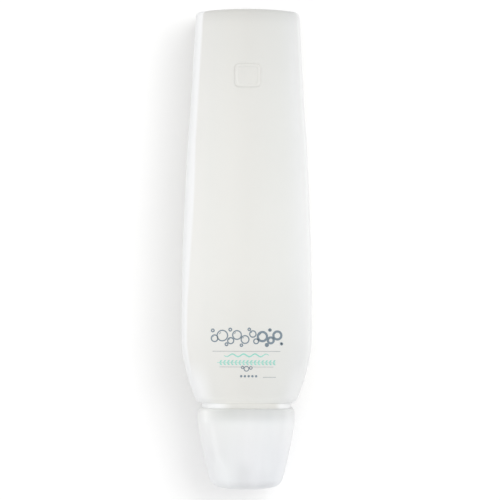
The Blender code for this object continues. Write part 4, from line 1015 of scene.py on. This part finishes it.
class RefillMakeScreens(bpy.types.Operator):
    """The two woven screens that make the foam, and the sleeve that carries them"""

    bl_idname = "refill.screens"
    bl_label = "Foaming screens"

    def execute(self, context):
        sizes = context.scene.refill_pump
        rim = sizes.nozzle_bore - 0.3 * MM
        end = sizes.flange_at + sizes.flange + sizes.funnel + sizes.nozzle - LIP_LENGTH
        seat = sizes.flange_at + SCREEN_SEAT
        nylon = woven_nylon((0.86, 0.86, 0.83))
        fine = woven_screen("fine_weave", end - 0.7 * MM, 0.42 * MM, 0.08 * MM, rim, nylon)
        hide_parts("fine_screen")
        coarse = woven_screen("coarse_weave", seat, 0.8 * MM, 0.11 * MM, rim, nylon)
        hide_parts("coarse_screen")
        look = moulded_plastic("sleeve_plastic", (0.74, 0.77, 0.79))
        made = hoop(rim, 0.8 * MM, seat + 0.7 * MM, end - MM, 0.25 * MM, 5, 96)
        sleeve = piece("screen_sleeve", [made], look)
        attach(sleeve, "pump_head")
        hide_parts("mesh_sleeve")
        return {"FINISHED"}


class RefillMakeSpring(bpy.types.Operator):
    """Return spring: a wire carried along a helix whose height is a smooth curve of the turn,
    closer together at both ends"""

    bl_idname = "refill.spring"
    bl_label = "Return spring"

    turns = 5.5

    def execute(self, context):
        sizes = context.scene.refill_pump
        rise = 0.75 * (2 * sizes.wire_radius + 0.5 * MM)
        turn = np.linspace(0, self.turns, int(64 * self.turns) + 1)
        out = smooth_through([(0, -COIL_LOW), (0.75, rise - COIL_LOW),
                              (self.turns - 0.75, COIL_HIGH - rise), (self.turns, COIL_HIGH)],
                             turn)
        angle = math.tau * turn
        path = circled(sizes.coil_radius, angle, out)
        outward = np.stack([np.cos(angle), np.zeros_like(angle), np.sin(angle)], axis=1)
        along = np.broadcast_to([0.0, 1.0, 0.0], outward.shape)
        look = spring_wire((0.60, 0.60, 0.61))
        wire = skin(tube(path, outward, along, sizes.wire_radius, 16))
        made = piece("coil_spring", [wire], look)
        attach(made, "pack")
        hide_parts("return_spring")
        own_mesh(made)
        return {"FINISHED"}


class RefillFinishInside(bpy.types.Operator):
    """Materials of the CAD pieces that stay: the pump's body, stem, piston and valves, the washer
    and the soap"""

    bl_idname = "refill.inside"
    bl_label = "Inner pieces"

    def execute(self, context):
        looks = {
            moulded_plastic("natural_plastic", (0.74, 0.77, 0.79), 0.4):
                ("pump_body", "air_piston", "piston_stem", "mixing_insert"),
            soft_rubber("clear_silicone", (0.76, 0.80, 0.83)):
                ("inlet_valve", "air_delivery_valve", "air_intake_valve", "stem_seal",
                 "outlet_valve"),
            foam_sheet((0.86, 0.86, 0.84)): ("neck_gasket",),
            liquid_soap((0.80, 0.86, 0.84)): ("soap",),
        }
        for look, names in looks.items():
            for name in names:
                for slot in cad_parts[name].material_slots:
                    slot.material = look
        return {"FINISHED"}


# The cover

# Bend from the rim to the sides, and to the front and back, and how far the sides run straight
RIM_CORNER, RIM_FRONT, STRAIGHT = 4.0 * MM, 1.4 * MM, 8.0 * MM
# Where the end's corner starts and ends
END_FROM, END_TO = math.radians(15), math.radians(77.4)
# Place of the ribs from the rim, and the radius to their edges at both places
RIB_START, RIB_END = 19.5 * MM, 35.5 * MM
RIB_EDGE, RIB_EDGE_END = 24.4 * MM, 21.7 * MM


def cover_length(sizes):
    """From the rim to the end."""
    return COVER_HIGH[1] + sizes.overlap - COVER_LOW[1]


def cover_side(sizes, wall, angles):
    """Rows from the rim's corner to the middle of the end, a wall's thickness inside: how far the
    section is moved in, its place from the rim and its squareness. The rim's corner is a quarter
    circle, wide on the sides and tight on the front and back."""
    total, half, end = cover_length(sizes), COVER_HIGH[0], sizes.end_corner
    tight = smooth_step(0.45, 0.85, np.abs(np.sin(angles)))
    corner = RIM_CORNER - (RIM_CORNER - RIM_FRONT) * tight
    dome_edge = half - sizes.taper - end * (math.cos(END_FROM) - math.cos(END_TO))
    dome = dome_edge * math.tan((math.pi / 2 - END_TO) / 2)
    corner_at = total - dome - end * (math.sin(END_TO) - math.sin(END_FROM))
    z = np.linspace(RIM_CORNER, corner_at, 50)[1:]
    run = np.clip(z - STRAIGHT, 0, None) / (corner_at - STRAIGHT)
    bend = np.linspace(END_FROM, END_TO, 18)[1:]
    inset_end = sizes.taper + end * math.cos(END_FROM) - (end - wall) * np.cos(bend)
    z_end = corner_at - end * math.sin(END_FROM) + (end - wall) * np.sin(bend)
    share = np.linspace(1, 0.03, 18)[1:]
    z_dome = z_end[-1] + (total - wall - z_end[-1]) * (1 - share ** 2)
    inset = np.concatenate([sizes.taper * run ** sizes.taper_curve + wall, inset_end,
                            half - (half - inset_end[-1]) * share])
    place = np.concatenate([z, z_end, z_dome])
    power = smooth_through([(0, sizes.rim_square), (STRAIGHT, sizes.rim_square),
                            (corner_at, sizes.end_square), (total, sizes.end_square)], place)
    power[-len(share):] = 2 + (sizes.end_square - 2) * share
    turn = np.linspace(math.pi / 2, 0, 12)[:, None]
    inset, place = (np.vstack([corner - (corner - wall) * wave,
                               np.repeat(rows[:, None], len(angles), axis=1)])
                    for wave, rows in ((np.cos(turn), inset), (np.sin(turn), place)))
    return inset, place, np.concatenate([np.full(len(turn), sizes.rim_square), power])


class RefillMakeCover(bpy.types.Operator):
    """Cover: rounded square rings from the middle of its end to its rim, round the opening, and
    back inside, a wall's thickness apart"""

    bl_idname = "refill.cover"
    bl_label = "Pull-off cover"

    # Start and end across, height, milkiness and width of each fold
    folds = ((-0.75, -0.60, 0.45, 0.8, 1.6), (0.72, 0.60, 0.5, 0.12, 2.2),
             (0.32, 0.30, 0.2, 0.15, 1.4), (-0.36, -0.52, 0.15, 0.1, 2.8))
    # Middle and width across, start along and milkiness of each patch: painted light where milkier
    # and painted shade where clearer
    patches = ((-0.65, 0.22, 0.52, 1.3), (-0.06, 0.2, 0.55, -1.1), (0.5, 0.28, 0.65, -0.8))

    def soft_folds(self, sizes, x, place, half):
        """Height of the soft folds, and how milky the plastic is in them, which paints highlights
        along them: bells about lines that run between two shares of the half width, fade in behind
        the rim and out over the end. Towards the rim it is less milky, but not on the left, and
        towards both edges it is milkier, a painted highlight round them. Towards the end there are
        soft upright patches, milkier on the left as painted light and clearer in the middle and on
        the right as painted shade."""
        run, share = place / cover_length(sizes), x / half
        fade = smooth_step(0.04, 0.35, run) * (1 - smooth_step(0.92, 0.98, run))
        height = np.zeros_like(x)
        milk = ((smooth_step(2 * MM, 12 * MM, place) - 1) * smooth_step(-0.95, -0.3, share)
                * (1 - 0.35 * smooth_step(0.5, 1.0, share)))
        glow = 0.1 - 0.2 * milk
        # Milkier towards both edges: a painted highlight round them
        milk += smooth_step(0.72, 0.92, np.abs(share))
        for start, end, rise, white, wide in self.folds:
            line = (start + (end - start) * run) * half
            fold = bell(x, line, wide * sizes.fold_width) * fade
            height += rise * sizes.fold * fold
            # The folds' milkiness is a painted highlight along them
            milk += white * fold
        # Painted light on the left towards the end, painted shade in the middle and on the right
        for middle, wide, start, white in self.patches:
            along = smooth_step(start, start + 0.25, run) * (1 - smooth_step(0.93, 1, run))
            milk += white * along * bell(share, middle, wide)
        return height, milk, glow

    def rib(self, sizes, half, depth, rim_out, turn):
        """A plate on a diagonal of the cover, from the middle of the wall to an edge that leans in:
        rows of six points round its section, one for each place along it."""
        place = np.linspace(RIB_START, RIB_END, 24)
        diagonal = np.array([math.pi / 4])
        inset, at, power = cover_side(sizes, sizes.wall / 2, diagonal)
        inset, power = (np.interp(place, at[:, 0], rows) for rows in (inset[:, 0], power))
        x, up = squared_rows(half - inset, inset - depth, depth - inset, power, diagonal)
        wall = np.hypot(x, up)[:, 0]
        edge = np.linspace(RIB_EDGE, RIB_EDGE_END, 24)
        thick = sizes.rib / 2
        soft = edge + thick * 0.6
        radius = np.stack([edge, edge, soft, wall, wall, soft], axis=1)
        off = thick * np.array([-0.4, 0.4, 1, 1, -1, -1])
        cos, sin = math.cos(turn), math.sin(turn)
        return round_pump(radius * cos - off * sin, radius * sin + off * cos,
                          rim_out + place[:, None])

    def execute(self, context):
        sizes = context.scene.refill_cover
        rim_out = MOUTH_Y - COVER_HIGH[1] - sizes.overlap
        half, depth = COVER_HIGH[0], (COVER_HIGH[2] - COVER_LOW[2]) / 2
        angles = corner_angles(256, math.pi / 4, 1.25)
        sides = []
        for wall in (0.0, sizes.wall):
            inset, place, power = cover_side(sizes, wall, angles)
            x, up = squared_rows(half - inset, inset - depth, depth - inset, power, angles)
            height, milk, glow = self.soft_folds(sizes, x, place, half - inset)
            swell = 1 + height / np.hypot(x, up)
            sides.append((round_pump(x * swell, up * swell, rim_out + place), milk, glow))
        behind = sizes.opening + 2 * MM
        opening = rounded([(behind, 0), (sizes.opening, 0), (sizes.opening, sizes.wall),
                           (behind, sizes.wall)], 0.4 * MM, 5, closed=False)[1:-1]
        lip = circled(opening[:, :1], angles, opening[:, 1:] + rim_out)
        (outside, milk, glow), (inside, milk_in, glow_in) = sides
        ribs = [skin(self.rib(sizes, half, depth, rim_out, turn))
                for turn in math.pi / 4 + even_angles(4)]

        def values(outer, at_lip, inner, ends, at_ribs):
            """A value for each point, in the order of the skins."""
            return np.concatenate([outer[::-1].ravel(), np.full(lip.shape[:2], at_lip).ravel(),
                                   inner.ravel(), ends,
                                   np.full(sum(len(points) for points, _, _ in ribs), at_ribs)])

        made = piece("pull_off_cover", [skin(np.concatenate([outside[::-1], lip, inside])), *ribs],
                     milky_plastic(context.scene.refill_colours),
                     inner=values(0 * milk, 1, 0 * milk_in + 1, [0, 1], 1),
                     milk=values(milk, -1, milk_in, [0, 0], 0.5),
                     glow=values(glow, 0.45, glow_in, [0.1, 0.1], 0.1))
        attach(made, "cover")
        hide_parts("overcap")
        return {"FINISHED"}


# The stage


def seen_rays(tree):
    """1 for rays from the camera and those that gloss or clear plastic passes on, 0 for others."""
    rays = add_node(tree, "LightPath")
    seen = rays.outputs["Is Camera Ray"]
    for kind in ("Is Glossy Ray", "Is Transmission Ray"):
        seen = add_node(tree, "Math", {0: seen, 1: rays.outputs[kind]}, operation="MAXIMUM")
        seen = seen.outputs[0]
    return seen


class RefillMakeStage(bpy.types.Operator):
    """Pale floor, soft studio light and the camera straight above"""

    bl_idname = "refill.stage"
    bl_label = "Stage"

    # The picture's middle in the frame, and how far the camera is turned
    middle, twist = (2.1 * MM, -0.2 * MM), math.radians(0.2)
    # Name, which is also its power's, place and size of each lamp, in metres
    lamps = (("key", (0.92, 0.62, 2.12), (1.6, 1.2)), ("strip", (-1.1, -0.2, 0.17), (0.26, 1.2)))
    # Half width of the floor and how far it lies under the pack
    reach, low = 3.0, 0.2 * MM

    def execute(self, context):
        scene, sizes = context.scene, context.scene.refill_stage
        self.floor(scene, sizes)
        self.light(scene, sizes)
        camera = bpy.data.cameras.new("camera")
        camera.lens, camera.sensor_width, camera.clip_end = sizes.lens, 36, 20
        made = bpy.data.objects.new("camera", camera)
        made.location = (*self.middle, sizes.camera_height)
        made.rotation_euler = (0, 0, self.twist)
        scene.collection.objects.link(made)
        scene.camera = made
        scene.view_settings.view_transform = "Standard"
        return {"FINISHED"}

    def floor(self, scene, sizes):
        """A plain pale floor, which is white where it is seen."""
        mesh = bpy.data.meshes.new("floor")
        corners = [(x * self.reach, y * self.reach, -self.low)
                   for x, y in ((-1, -1), (1, -1), (1, 1), (-1, 1))]
        mesh.from_pydata(corners, [], [(0, 1, 2, 3)])
        look = bpy.data.materials.new("pale_floor")
        look.use_nodes = True
        tree = look.node_tree
        tree.nodes.clear()
        matt = add_node(tree, "BsdfDiffuse", {"Color": (*[sizes.floor] * 3, 1)})
        lift = add_node(tree, "Math", {0: seen_rays(tree), 1: sizes.floor_lift},
                        operation="MULTIPLY")
        glow = add_node(tree, "Emission", {"Strength": lift.outputs[0]})
        both = add_node(tree, "AddShader", {0: matt.outputs[0], 1: glow.outputs[0]})
        add_node(tree, "OutputMaterial", {"Surface": both.outputs[0]})
        mesh.materials.append(look)
        made = bpy.data.objects.new("floor", mesh)
        scene.collection.objects.link(made)

    def light(self, scene, sizes):
        """Even light from all round, a large lamp on the right and a narrow one on the left."""
        world = bpy.data.worlds.new("studio")
        world.use_nodes = True
        tree = world.node_tree
        inputs = tree.nodes["Background"].inputs
        tree.links.new(carried(tree, seen_rays(tree), 0, 1, sizes.sky, 1), inputs["Strength"])
        inputs["Color"].default_value = (1, 1, 1, 1)
        scene.world = world
        for name, place, size in self.lamps:
            lamp = bpy.data.lights.new(name, "AREA")
            lamp.shape = "RECTANGLE"
            lamp.size, lamp.size_y = size
            lamp.energy = getattr(sizes, name)
            made = bpy.data.objects.new(name, lamp)
            made.location = place
            across = math.atan2(math.hypot(place[0], place[1]), place[2])
            made.rotation_euler = (across, 0, math.atan2(place[0], -place[1]))
            scene.collection.objects.link(made)


class REFILL_PT_panel(bpy.types.Panel):
    """The pack's pieces, sizes and colours."""

    bl_label = "Refill pack"
    bl_idname = "REFILL_PT_panel"
    bl_space_type = "VIEW_3D"
    bl_region_type = "UI"
    bl_category = "Refill pack"

    def draw(self, context):
        for operator in OPERATORS:
            self.layout.operator(operator.bl_idname)
        for key, group in GROUPS.items():
            box = self.layout.box()
            box.label(text=group.__doc__)
            for name in group.__annotations__:
                box.prop(getattr(context.scene, key), name)


GROUPS = {
    "refill_bottle": RefillBottle,
    "refill_pad": RefillPad,
    "refill_pump": RefillPump,
    "refill_cover": RefillCover,
    "refill_colours": RefillColours,
    "refill_stage": RefillStage,
}
OPERATORS = (RefillMakeBottle, RefillMakePad, RefillMakePrint, RefillMakeClosure,
             RefillMakeActuator, RefillMakeScreens, RefillMakeSpring, RefillFinishInside,
             RefillMakeCover, RefillMakeStage)


def register():
    for made in (*GROUPS.values(), *OPERATORS, REFILL_PT_panel):
        bpy.utils.register_class(made)
    for key, group in GROUPS.items():
        setattr(bpy.types.Scene, key, bpy.props.PointerProperty(type=group))


def unregister():
    for key in GROUPS:
        delattr(bpy.types.Scene, key)
    for made in (REFILL_PT_panel, *reversed(OPERATORS), *reversed(GROUPS.values())):
        bpy.utils.unregister_class(made)


def main():
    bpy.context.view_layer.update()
    register()
    bpy.ops.refill.bottle()
    bpy.ops.refill.pad()
    bpy.ops.refill.print()
    bpy.ops.refill.closure()
    bpy.ops.refill.actuator()
    bpy.ops.refill.screens()
    bpy.ops.refill.spring()
    bpy.ops.refill.inside()
    bpy.ops.refill.cover()
    bpy.ops.refill.stage()


if __name__ == "__main__":
    main()
